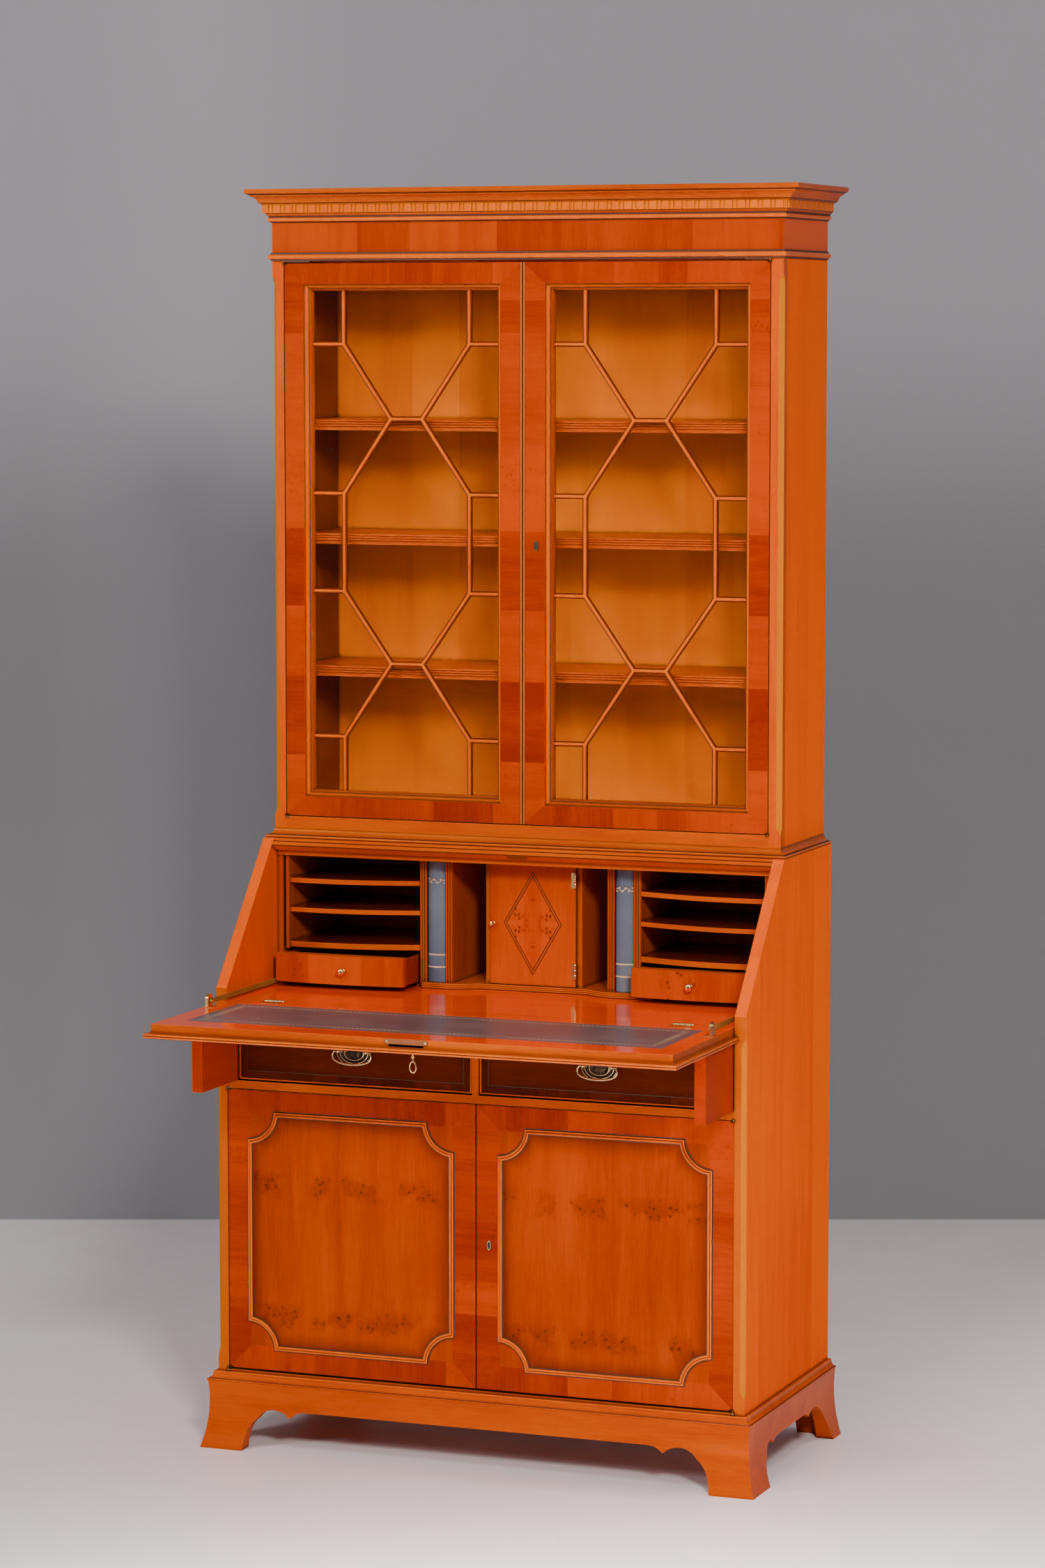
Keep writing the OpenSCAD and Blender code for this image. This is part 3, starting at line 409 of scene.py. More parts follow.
class Mesh:
    """Collects faces in millimetres and turns them into one piece."""

    def __init__(self):
        self.points, self.faces, self.looks, self.materials = [], [], [], []

    def look(self, mat):
        if mat not in self.materials:
            self.materials.append(mat)
        return self.materials.index(mat)

    def face(self, points, mat):
        start = len(self.points)
        self.points += [place(p) for p in points]
        self.faces.append(list(range(start, start + len(points))))
        self.looks.append(self.look(mat))

    def rows(self, rows, mat, wrap=False, close=False):
        """Joins each row of points to the next. wrap joins the ends of each row, close the last row to the first."""
        start, wide = len(self.points), len(rows[0])
        for row in rows:
            self.points += [place(p) for p in row]
        look = self.look(mat)
        for i in range(len(rows) if close else len(rows) - 1):
            for j in range(wide if wrap else wide - 1):
                a, b = i * wide, (i + 1) % len(rows) * wide
                k = (j + 1) % wide
                self.faces.append([start + a + j, start + a + k, start + b + k, start + b + j])
                self.looks.append(look)

    def box(self, low, high, mat, front=None):
        """A block. front is another material for the face towards the viewer."""
        (x0, y0, z0), (x1, y1, z1) = low, high
        self.face(upright((x0, x1), y0, (z0, z1)), front or mat)
        self.face(upright((x1, x0), y1, (z0, z1)), mat)
        self.face([(x0, y1, z0), (x0, y0, z0), (x0, y0, z1), (x0, y1, z1)], mat)
        self.face([(x1, y0, z0), (x1, y1, z0), (x1, y1, z1), (x1, y0, z1)], mat)
        self.face([(x0, y0, z1), (x1, y0, z1), (x1, y1, z1), (x0, y1, z1)], mat)
        self.face([(x0, y1, z0), (x1, y1, z0), (x1, y0, z0), (x0, y0, z0)], mat)

    def prism(self, outline, back, mat):
        """A closed outline of points joined to the same outline moved by back, with both ends filled."""
        far = [tuple(p[i] + back[i] for i in range(3)) for p in outline]
        self.rows([outline, far], mat, wrap=True)
        self.face(list(outline), mat)
        self.face(list(reversed(far)), mat)

    def turned(self, centre, profile, mat, axis="y", steps=32):
        """A turned shape. profile lists (radius, distance along the axis)."""
        rows = []
        for radius, along in profile:
            row = []
            for k in range(steps):
                a = math.tau * k / steps
                u, v = radius * math.cos(a), radius * math.sin(a)
                off = {"x": (along, u, v), "y": (u, along, v), "z": (u, v, along)}[axis]
                row.append(tuple(centre[i] + off[i] for i in range(3)))
            rows.append(row)
        self.rows(rows, mat, wrap=True)

    def tube(self, path, radius, mat, steps=12, closed=False):
        """A round rod along a path that lies in one upright plane facing the viewer, or bends gently."""
        rows = []
        count = len(path)
        for i, p in enumerate(path):
            a = path[(i - 1) % count] if closed or i > 0 else path[i]
            b = path[(i + 1) % count] if closed or i < count - 1 else path[i]
            t = [b[k] - a[k] for k in range(3)]
            size = math.sqrt(sum(c * c for c in t))
            t = [c / size for c in t]
            side = (0.0, 1.0, 0.0) if abs(t[1]) < 0.9 else (1.0, 0.0, 0.0)
            n = [t[1] * side[2] - t[2] * side[1], t[2] * side[0] - t[0] * side[2], t[0] * side[1] - t[1] * side[0]]
            size = math.sqrt(sum(c * c for c in n))
            n = [c / size for c in n]
            m = [t[1] * n[2] - t[2] * n[1], t[2] * n[0] - t[0] * n[2], t[0] * n[1] - t[1] * n[0]]
            r = radius(i / (count - 1)) if callable(radius) else radius
            rows.append([tuple(p[k] + r * (math.cos(q) * n[k] + math.sin(q) * m[k]) for k in range(3))
                         for q in turns(steps)])
        self.rows(rows, mat, wrap=True, close=closed)
        if not closed:
            self.face(rows[0], mat)
            self.face(list(reversed(rows[-1])), mat)

    def piece(self, name, body, nodes, slot, bevel=0.4, smooth=35, mirror=False):
        mesh = bpy.data.meshes.new(name)
        points = [(-x, y, z) for x, y, z in self.points] if mirror else self.points
        mesh.from_pydata(points, [], [list(reversed(f)) for f in self.faces] if mirror else self.faces)
        for mat in self.materials:
            mesh.materials.append(mat)
        mesh.polygons.foreach_set("material_index", self.looks)
        obj = bpy.data.objects.new(name, mesh)
        bpy.context.scene.collection.objects.link(obj)
        dress(obj, bevel, smooth)
        if nodes:
            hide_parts(*nodes)
        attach(obj, body)
        return obj


def soften(obj, bevel, limit):
    """A narrow rounding on edges sharper than the limit, in degrees."""
    edge = obj.modifiers.new("soft_edges", "BEVEL")
    edge.width, edge.segments = bevel * MM, 2
    edge.limit_method, edge.angle_limit = "ANGLE", math.radians(limit)


def dress(obj, bevel, smooth):
    """Joins faces that meet, then rounds the edges a little or smooths the gentle ones."""
    work = bmesh.new()
    work.from_mesh(obj.data)
    bmesh.ops.remove_doubles(work, verts=work.verts, dist=0.00001)
    bmesh.ops.recalc_face_normals(work, faces=work.faces)
    work.to_mesh(obj.data)
    work.free()
    if bevel:
        soften(obj, bevel, 40)
    else:
        obj.data.shade_smooth()
        obj.data.set_sharp_from_angle(angle=math.radians(smooth))


def turns(steps):
    """Angles of a full turn in equal steps."""
    return [math.tau * k / steps for k in range(steps)]


def arc(centre, radius, start, end, steps=6):
    """Points of a round stretch, between two angles in degrees."""
    return [(centre[0] + radius * math.cos(math.radians(start + (end - start) * i / steps)),
             centre[1] + radius * math.sin(math.radians(start + (end - start) * i / steps))) for i in range(steps + 1)]


def half_round(middle, radius, base, rise, steps=6):
    """Profile points of a bead: across from middle - radius to middle + radius, standing out from base by rise."""
    return [(middle - radius * math.cos(math.pi * k / steps), base + rise * math.sin(math.pi * k / steps))
            for k in range(steps + 1)]


def bend(a, b, c, steps=8):
    """Points of a smooth bend from a to c, pulled towards b."""
    return [tuple((1 - t) ** 2 * a[k] + 2 * t * (1 - t) * b[k] + t * t * c[k] for k in range(len(a)))
            for t in [i / steps for i in range(steps + 1)]]


def beads(start, end, count, rise, steps=6):
    """A row of half-round reeds between two points of a profile, each standing out by rise along the first axis."""
    out = []
    for i in range(count):
        for k in range(steps + 1):
            t = (i + k / steps) / count
            swell = rise * math.sin(math.pi * k / steps)
            out.append((start[0] + (end[0] - start[0]) * t + swell, start[1] + (end[1] - start[1]) * t))
    return out


def run_round(mesh, profile, half_w, front, back, look_x, look_y, marks=()):
    """A moulding across the front and along both sides, mitred at the corners. profile lists (standing out, height).
    marks lists (low, high, look) for the stretches that have a look of their own."""
    left = [[(-half_w - e, back, z) for e, z in profile], [(-half_w - e, front - e, z) for e, z in profile]]
    right = [[(half_w + e, front - e, z) for e, z in profile], [(half_w + e, back, z) for e, z in profile]]
    for rows, look in ((left, look_y), ([left[1], right[0]], look_x), (right, look_y)):
        for j in range(len(profile)):
            k = (j + 1) % len(profile)
            middle = (profile[j][1] + profile[k][1]) / 2
            own = [mark for low, high, mark in marks if low < middle < high and k]
            mesh.rows([[row[j], row[k]] for row in rows], own[0] if own else look)
    mesh.face(left[0], look_y)
    mesh.face(list(reversed(right[1])), look_y)


def rectangle_ring(mesh, x, z, profile, look_rail, look_stile):
    """A moulding round a rectangle. profile lists (inset, y)."""
    def corner(sx, sz):
        return [((x[1] - d) if sx > 0 else (x[0] + d), y, (z[1] - d) if sz > 0 else (z[0] + d)) for d, y in profile]
    a, b, c, d = corner(-1, -1), corner(1, -1), corner(1, 1), corner(-1, 1)
    mesh.rows([a, b], look_rail)
    mesh.rows([b, c], look_stile)
    mesh.rows([c, d], look_rail)
    mesh.rows([d, a], look_stile)


def inlay(mesh, x, z, y, rings, field=None):
    """A flat face laid in mitred rings from the edge inwards: each ring is (width, rail look, stile look)."""
    (x0, x1), (z0, z1) = x, z
    for width, rail, stile in rings:
        a, b, c, d = (x0, y, z0), (x1, y, z0), (x1, y, z1), (x0, y, z1)
        x0, x1, z0, z1 = x0 + width, x1 - width, z0 + width, z1 - width
        e, f, g, h = (x0, y, z0), (x1, y, z0), (x1, y, z1), (x0, y, z1)
        mesh.face([a, b, f, e], rail)
        mesh.face([b, c, g, f], stile)
        mesh.face([c, d, h, g], rail)
        mesh.face([d, a, e, h], stile)
    if field:
        mesh.face(upright((x0, x1), y, (z0, z1)), field)
    return (x0, x1), (z0, z1)


def drawer_box(mesh, x, y, z, thick, floor):
    """Sides, back and bottom behind a drawer front. floor is the height of the top of the bottom."""
    (x0, x1), (y0, y1), (z0, top) = x, y, z
    mesh.box((x0, y0, z0), (x0 + thick, y1, top), INNER)
    mesh.box((x1 - thick, y0, z0), (x1, y1, top), INNER)
    mesh.box((x0 + thick, y1 - thick, z0), (x1 - thick, y1, top), INNER)
    mesh.box((x0 + thick, y0, z0), (x1 - thick, y1 - thick, floor), INNER)


def both(build, name, body, nodes, slot, **how):
    """Makes the right-hand piece and its mirror image on the left. {} in the names stands for the side."""
    mesh = build()
    mesh.piece(name + "_right", body.format("r"), [n.format("right") for n in nodes], slot, **how)
    mesh.piece(name + "_left", body.format("l"), [n.format("left") for n in nodes], slot, mirror=True, **how)


# ---- CAD nodes shown as they are, with soft edges and a finish ----

SHOWN = (
    (SIDE, 0.8, "lower_sides"), (MOULD_X, 0.6, "lower_boards"), (BACK, 0.3, "back_boards"),
    (FLAP_TOP, 0.5, "desk_board"), (RAIL, 0.6, "fall_rail"), (YEW_X, 0.8, "plinth_boards"),
    (SHELF, 1.6, "gallery_boards"), (MOULD_Z, 0.7, "gallery_panels"), (MOULD_Z, 0.3, "gallery_pilasters"),
    (SIDE_UP, 0.8, "upper_sides"), (STILE, 0.5, "upper_stiles"), (YEW_X, 0.6, "upper_boards"),
    (BRASS, 0.2, "shelf_pins flap_hinges"), (DENTIL, 0.0, "dentil_band"), (BRONZE, 0.15, "case_brass"),
    (BRONZE, 0.3, "flap_lock"), (BRASS, 0.4, "stay_brackets"), (DULL_BRASS, 0.4, "stay_left stay_right"),
    (LOPER, 0.8, "loper_left loper_right"), (GLASS, 0.0, "glass_left glass_right"), (FRIEZE, 0.6, "frieze"),
    (HINGE, 0.15, "upper_brass_left upper_brass_right lower_brass_left lower_brass_right"),
    (INNER, 0.4, "document_box_left document_box_right"),
)
for look, bevel, nodes in SHOWN:
    for node in nodes.split():
        shown = bpy.data.objects[node]
        shown.data.materials.clear()
        shown.data.materials.append(look)
        if bevel:
            soften(shown, bevel, 30)

# ---- Mouldings that run round the front and sides ----

upper_high = extent("upper_sides")[1]
case_high = extent("lower_sides")[1]
UP_X, UP_FRONT, BACK_Y = upper_high[0], extent("frieze")[0][1], case_high[1]
LOW_X = case_high[0]


def waist_moulding():
    low, high = extent("waist_moulding")
    base, top = low[2], high[2]
    profile = [(-27, top), (0, top), (0, top - 2.6)] + bend((1, top - 3), (1.5, top - 11.5), (9.6, top - 12.4)) \
        + [(9.6, top - 13.2)] + arc((10.4, base + 2.6), 2.4, 80, -80) + [(9.6, base), (-27, base)]
    mesh = Mesh()
    # Painted shade in the quirks and the painted highlight colour on the bead.
    marks = ((top - 2.9, top - 2.6, PAINTED_SHADE_LINE), (top - 13.4, top - 12.3, PAINTED_SHADE_LINE),
             (base + 0.3, base + 4.6, BEAD), (base + 4.6, base + 6.2, PAINTED_SHADE_LINE))
    run_round(mesh, profile, UP_X, UP_FRONT, BACK_Y, MOULD_X, MOULD_X, marks)
    mesh.piece("waist_moulding_run", "case", ["waist_moulding"], "yew_moulding", bevel=0, smooth=30)


def plinth_moulding():
    low, high = extent("plinth_moulding")
    base, top = low[2], high[2]
    profile = [(0.1, top), (5.6, top)] + arc((5.4, top - 1.4), 1.4, 90, 0, 4)
    profile += bend((6.8, top - 2), (7.2, top - 10.6), (12.8, top - 11.2)) + [(13.2, top - 11.8)]
    profile += arc((13.4, base + 1.8), 1.9, 80, -90) + [(0.1, base)]
    mesh = Mesh()
    # Painted shade in the quirk and the painted highlight colour on the bead.
    marks = ((top - 12.2, top - 11.2, PAINTED_SHADE_LINE), (top - 1.6, top - 0.1, BEAD))
    run_round(mesh, profile, LOW_X, 0, BACK_Y, YEW_X, YEW_X, marks)
    mesh.piece("plinth_moulding_run", "case", ["plinth_moulding"], "yew_veneer", bevel=0, smooth=30)


def astragal():
    low, high = extent("astragal")
    mid = (low[2] + high[2]) / 2
    profile = [(0.1, high[2]), (1.8, high[2]), (1.8, mid + 4.6)] + arc((2.0, mid), 4.3, 88, -88, 10)
    profile += [(1.8, mid - 4.6), (1.8, low[2]), (0.1, low[2])]
    mesh = Mesh()
    # Painted shade beside the bead and the painted highlight colour on it.
    marks = ((mid + 4.2, high[2], PAINTED_SHADE_LINE), (low[2], mid - 4.2, PAINTED_SHADE_LINE), (mid - 3.2, mid + 4.2, BEAD))
    run_round(mesh, profile, UP_X, UP_FRONT, BACK_Y, MOULD_X, MOULD_X, marks)
    mesh.piece("astragal_run", "case", ["astragal"], "yew_moulding", bevel=0, smooth=30)


def cornice():
    low, high = extent("cornice")
    dentil_low, dentil_high = extent("dentil_band")[0][2], extent("dentil_band")[1][2]
    top = high[2]
    foot = dentil_low
    profile = [(-20, top), (35.8, top), (36.2, top - 0.6), (36.2, top - 4.6)]
    profile += arc((33.6, top - 5.6), 2.5, 10, -80, 5) + [(28.9, top - 10.4)]
    profile += bend((27.8, top - 12.4), (19.6, top - 15), (18, top - 23))
    profile += [(14.4, top - 24.6), (14.4, dentil_high + 0.3), (10, dentil_high), (10, foot), (8.6, foot - 1)]
    profile += bend((8.2, foot - 1.6), (6, foot - 5), (4.6, foot - 5)) + arc((2.9, foot - 11), 3.4, 70, -70)
    profile += [(1.4, low[2]), (-20, low[2])]
    mesh = Mesh()
    # Painted shade in the quirks and behind the dentils, and the painted highlight colour on the bead.
    marks = ((top - 10.4, top - 8.1, PAINTED_SHADE_LINE), (top - 24.6, top - 23, PAINTED_SHADE_LINE), (foot, dentil_high, DENTIL_SHADE),
             (foot - 1.1, foot, PAINTED_SHADE_LINE), (foot - 7.8, foot - 5, PAINTED_SHADE_LINE), (foot - 14.2, foot - 7.8, BEAD),
             (low[2], foot - 14.2, PAINTED_SHADE_LINE))
    run_round(mesh, profile, UP_X, UP_FRONT, BACK_Y, MOULD_X, MOULD_X, marks)
    mesh.piece("cornice_run", "case", ["cornice"], "yew_moulding", bevel=0, smooth=30)


for build in (waist_moulding, plinth_moulding, astragal, cornice):
    build()

# ---- Bookcase shelves, with reeded front edges, and the rows of holes for their pins ----

shelf_low, shelf_high = extent("bookcase_shelves")
SHELF_BASES = [shelf_low[2] + rise for rise in (0, 227, 421.5)]


def bookcase_shelves():
    low, high = shelf_low, shelf_high
    mesh = Mesh()
    thick = 18
    for base in SHELF_BASES:
        mesh.box((low[0], low[1] + 3, base), (high[0], high[1], base + thick), DEEP)
        front = beads((0, base + thick), (0, base + 6), 3, 1.6)
        mesh.prism([(low[0], low[1] + 3, base + 6)] + [(low[0], low[1] + 1.6 - y, z) for y, z in reversed(front)]
                   + [(low[0], low[1] + 3, base + thick)], (high[0] - low[0], 0, 0), DEEP)
    mesh.piece("reeded_shelves", "case", ["bookcase_shelves"], "yew_veneer", bevel=0, smooth=40)


PIN_ROWS, PIN_START, PIN_PITCH, PIN_DEPTHS = 24, 1170, 32, (275, 428)


def pin_holes():
    """Dark spots for the holes, left out where a shelf or its pins cover them."""
    inner = upper_high[0] - 19
    mesh = Mesh()
    for side in (-1, 1):
        for row in range(PIN_ROWS):
            z = PIN_START + PIN_PITCH * row
            for y in PIN_DEPTHS:
                if any(abs(z - (base - 2.5)) < 8 or base - 3 < z < base + 20 for base in SHELF_BASES):
                    continue
                mesh.face([(side * (inner - 0.1), y + 2.4 * math.cos(a), z + 2.4 * math.sin(a))
                           for a in turns(16)], SHADOW)
    mesh.piece("pin_holes", "case", [], "inner_wood", bevel=0)


bookcase_shelves()
pin_holes()

# ---- Glazed doors ----

door_low, door_high = extent("upper_door_right")
pane_low, pane_high = extent("glazing_right")
SIGHT_X = (pane_low[0] + 10.3, pane_high[0] - 11.7)
SIGHT_Z = (pane_low[2] + 10.5, pane_high[2] - 10)


def upper_door():
    mesh = Mesh()
    front, back = door_low[1], door_high[1]
    x, z = (door_low[0], door_high[0]), (door_low[2], door_high[2])
    hole_x, hole_z = (pane_low[0], pane_high[0]), (pane_low[2], pane_high[2])
    outer = [(x[0], z[0]), (x[1], z[0]), (x[1], z[1]), (x[0], z[1])]
    inner = [(hole_x[0], hole_z[0]), (hole_x[1], hole_z[0]), (hole_x[1], hole_z[1]), (hole_x[0], hole_z[1])]
    for i in range(4):
        look = BAND_X if i % 2 == 0 else BAND_Z
        a, b, c, d = outer[i], outer[(i + 1) % 4], inner[(i + 1) % 4], inner[i]
        mesh.face([(a[0], front, a[1]), (b[0], front, b[1]), (c[0], front, c[1]), (d[0], front, d[1])], look)
        mesh.face([(b[0], back, b[1]), (a[0], back, a[1]), (d[0], back, d[1]), (c[0], back, c[1])], MOULD_Z)
        mesh.face([(a[0], back, a[1]), (b[0], back, b[1]), (b[0], front, b[1]), (a[0], front, a[1])], MOULD_Z)
        mesh.face([(d[0], front, d[1]), (c[0], front, c[1]), (c[0], back, c[1]), (d[0], back, d[1])], MOULD_Z)
    # A painted bead down the meeting edge, with a strip of painted shade beside it.
    for start, end, look in ((0.2, 2.6, MOULD_Z), (2.6, 3.8, PAINTED_SHADE_LINE)):
        mesh.rows([[(x[0] + u, front - 0.1, h) for h in z] for u in (start, end)], look)
    return mesh


def bar_between(mesh, a, b, y_front, y_back, width=9.0):
    """A glazing bar: a round bead between two fillets, from a to b in x and z. The fillets and the bar's sides carry
    painted shade, the bead the painted highlight colour.
    """
    dx, dz = b[0] - a[0], b[1] - a[1]
    size = math.hypot(dx, dz)
    across = (-dz / size, dx / size)
    half = width / 2
    round_part = half_round(0, 2.7, y_front + 3.0, -3.0, 8)
    left_fillet = [(-half + 0.9, y_front + 2.6), (-2.7, y_front + 3.2)]
    right_fillet = [(2.7, y_front + 3.2), (half - 0.9, y_front + 2.6)]
    body = [(half - 0.9, y_front + 2.6), (half, y_front + 3.4), (half, y_back), (-half, y_back),
            (-half, y_front + 3.4), (-half + 0.9, y_front + 2.6)]
    for section, look in ((body, BAR_SHADE), (left_fillet, PAINTED_SHADE_LINE), (round_part, BEAD), (right_fillet, PAINTED_SHADE_LINE)):
        mesh.rows([[(p[0] + across[0] * u, v, p[1] + across[1] * u) for u, v in section] for p in (a, b)], look)


# Top, middle and foot of the upper and lower six-sided fields between the bars
FIELDS = ((1866.5, 1740, 1613), (1446, 1323.5, 1196.5))


def glazing():
    """The moulding round the pane, and the bars in front of it."""
    mesh = Mesh()
    y0, y1 = pane_low[1], pane_high[1]
    bar_y = y1 - 7.2
    profile = [(0, y1), (0, y0 + 0.2), (0.8, y0 - 0.4)] + bend((2.0, y0 - 0.4), (5.6, y0 - 0.2), (6.2, y0 + 4.5)) \
        + [(7.0, y0 + 5.2)] + bend((7.6, y0 + 5.6), (9.4, y0 + 7), (10.2, y1 - 5)) + [(10.3, y1)]
    profile = [(d, max(y, y0)) for d, y in profile]
    opening = ((pane_low[0], pane_high[0]), (pane_low[2], pane_high[2]))
    # Painted shade on the opening's edge and in the quirk; the upright runs take the painted highlight colour.
    rectangle_ring(mesh, *opening, profile[:2], PAINTED_SHADE_LINE, PAINTED_SHADE_LINE)
    rectangle_ring(mesh, *opening, profile[1:12], MOULD_X, BEAD)
    rectangle_ring(mesh, *opening, profile[11:14], PAINTED_SHADE_LINE, PAINTED_SHADE_LINE)
    rectangle_ring(mesh, *opening, profile[13:], MOULD_X, MOULD_Z)
    mid = (SIGHT_X[0] + SIGHT_X[1]) / 2
    arm, waist = 115, 28.5
    top, low = SIGHT_Z[1] + 2, SIGHT_Z[0] - 2
    for s in (-1, 1):
        v = mid + s * arm
        edge = SIGHT_X[1] + 2 if s > 0 else SIGHT_X[0] - 2
        for a, b in ((top, FIELDS[0][0]), (FIELDS[0][2], FIELDS[1][0]), (FIELDS[1][2], low)):
            bar_between(mesh, (v, a), (v, b), bar_y, y1)
        for high, middle, base in FIELDS:
            bar_between(mesh, (v, high), (mid + s * waist, middle), bar_y, y1)
            bar_between(mesh, (mid + s * waist, middle), (v, base), bar_y, y1)
            bar_between(mesh, (v, high), (edge, high), bar_y, y1)
            bar_between(mesh, (v, base), (edge, base), bar_y, y1)
    for _, middle, _ in FIELDS:
        bar_between(mesh, (mid - waist - 1, middle), (mid + waist + 1, middle), bar_y, y1)
    return mesh


both(upper_door, "bookcase_door", "bookcase_door_{}", ["upper_door_{}"], "yew_veneer", bevel=0.8)
both(glazing, "glazing_bars", "bookcase_door_{}", ["glazing_{}"], "yew_moulding", bevel=0, smooth=35)

# ---- Cupboard doors ----

low_door_low, low_door_high = extent("lower_door_right")
PANEL_X, PANEL_Z, SCOOP = (39.2, 413.9), (171.5, 580), 48
low_face = low_door_high[1] - 20


def scooped_outline(inset, steps=12):
    """Outline of the applied moulding, inset from its outer edge, as (x, z) points that match at every inset."""
    r = SCOOP + inset
    start = math.degrees(math.asin(inset / r))
    out = []
    for quarter, (i, k) in enumerate(((0, 0), (1, 0), (1, 1), (0, 1))):
        turn = 90 * quarter
        out += arc((PANEL_X[i], PANEL_Z[k]), r, turn + 90 - start, turn + start, steps)
    return out


def lower_door():
    mesh = Mesh()
    x, z = (low_door_low[0], low_door_high[0]), (low_door_low[2], low_door_high[2])
    front, back = low_face, low_door_high[1]
    border = (PANEL_X[0] - x[0] + x[1] - PANEL_X[1]) / 2 + 4
    inner_x, inner_z = inlay(mesh, x, z, front, [(border, BAND_X, BAND_Z)])
    seam = (inner_x[0] + inner_x[1]) / 2
    for a, b in ((inner_x[0], seam), (seam, inner_x[1])):
        mesh.face([(a, front, inner_z[0]), (b, front, inner_z[0]), (b, front, inner_z[1]), (a, front, inner_z[1])],
                  BURR)
    mesh.face([(x[1], back, z[0]), (x[0], back, z[0]), (x[0], back, z[1]), (x[1], back, z[1])], MOULD_Z)
    edge = [(x[0], z[0]), (x[1], z[0]), (x[1], z[1]), (x[0], z[1])]
    for i in range(4):
        a, b = edge[i], edge[(i + 1) % 4]
        mesh.face([(a[0], back, a[1]), (b[0], back, b[1]), (b[0], front, b[1]), (a[0], front, a[1])], MOULD_Z)
    return mesh


def applied_moulding():
    """Two beads, the inner one larger, with painted shade beside and between them."""
    mesh = Mesh()

    def strip(section, look):
        mesh.rows([[(px, low_face - out, pz) for px, pz in scooped_outline(inset)] for inset, out in section], look,
                  wrap=True)

    small, large = half_round(2.0, 1.7, 1.2, 1.5), half_round(6.1, 1.9, 1.8, 2.5)
    strip([(-1.6, 0.05), (0.0, 0.05)], PAINTED_SHADE_LINE)
    strip([(0.0, 0.0)] + small[:2], PAINTED_SHADE_LINE)
    strip(small[1:], BEAD)
    strip([small[-1], (4.0, 1.0), large[0]], PAINTED_SHADE_LINE)
    strip(large, BEAD)
    strip([large[-1], (8.1, 0.0)], PAINTED_SHADE_LINE)
    strip([(8.1, 0.05), (10.0, 0.05)], PAINTED_SHADE_LINE)
    return mesh


both(lower_door, "cupboard_door", "cupboard_door_{}", ["lower_door_{}"], "yew_veneer_light", bevel=0.7)
both(applied_moulding, "panel_moulding", "cupboard_door_{}", [], "yew_moulding", bevel=0, smooth=40)


def escutcheon(name, body, x, y, z, tall):
    """A thin brass shield with a dark keyhole."""
    mesh = Mesh()
    ring = [(0.42 * tall / 2 * math.cos(a), tall / 2 * math.sin(a)) for a in turns(36)]
    for size, out, look in ((1.0, 1.15, BRASS), (0.84, 1.2, SHADOW)):
        mesh.face([(x + size * u, y - out, z + size * v) for u, v in ring], look)
    mesh.face([(x - 0.5, y - 1.25, z - 0.3 * tall), (x + 0.5, y - 1.25, z - 0.3 * tall), (x + 0.5, y - 1.25, z),
               (x - 0.5, y - 1.25, z)], SHADOW)
    mesh.piece(name, body, [], "polished_brass", bevel=0)


escutcheon("bookcase_escutcheon", "bookcase_door_r", 24.5, door_low[1], 1530, 17)
escutcheon("cupboard_escutcheon", "cupboard_door_r", 23.5, low_face, 380.5, 16)

# ---- Long drawers and their handles ----

drawer_low, drawer_high = extent("long_drawer_right")


def long_drawer():
    mesh = Mesh()
    x, z = (drawer_low[0], drawer_high[0]), (drawer_low[2] + 1.6, drawer_high[2])
    front = drawer_low[1]
    bead = 3.0
    profile = [(0, front + 20), (0, front + 2.2)] + half_round(bead / 2, bead / 2, front + 1.4, -1.4)
    profile += [(bead, front + 2.0)]
    rectangle_ring(mesh, x, z, profile, MOULD_X, MOULD_Z)
    inside_x, inside_z = (x[0] + bead, x[1] - bead), (z[0] + bead, z[1] - bead)
    inlay(mesh, inside_x, inside_z, front + 2.0, [(11.5, DRAWER_BAND, DRAWER_BAND), (1.1, STRING, STRING)], DRAWER)
    mesh.box((x[0], front + 19.5, z[0]), (x[1], front + 20, z[1]), INNER)
    drawer_box(mesh, (drawer_low[0] + 1.2, drawer_high[0] - 1.2), (front + 20, drawer_high[1]),
               (drawer_low[2], drawer_high[2] - 8), 10, drawer_low[2] + 8)
    return mesh


plate_low, plate_high = extent("backplate_right")
bail_low, bail_high = extent("bail_right")
HANDLE_X = (plate_low[0] + plate_high[0]) / 2
HANDLE_Z = (plate_low[2] + plate_high[2]) / 2
BAIL_Y = (bail_low[1] + bail_high[1]) / 2
BAIL_Z = bail_high[2] - 1.8
POST_X = 25


def oval_row(a, b, y, steps=56):
    return [(HANDLE_X + a * math.cos(math.tau * k / steps), y,
             HANDLE_Z + b * math.sin(math.tau * k / steps)) for k in range(steps)]


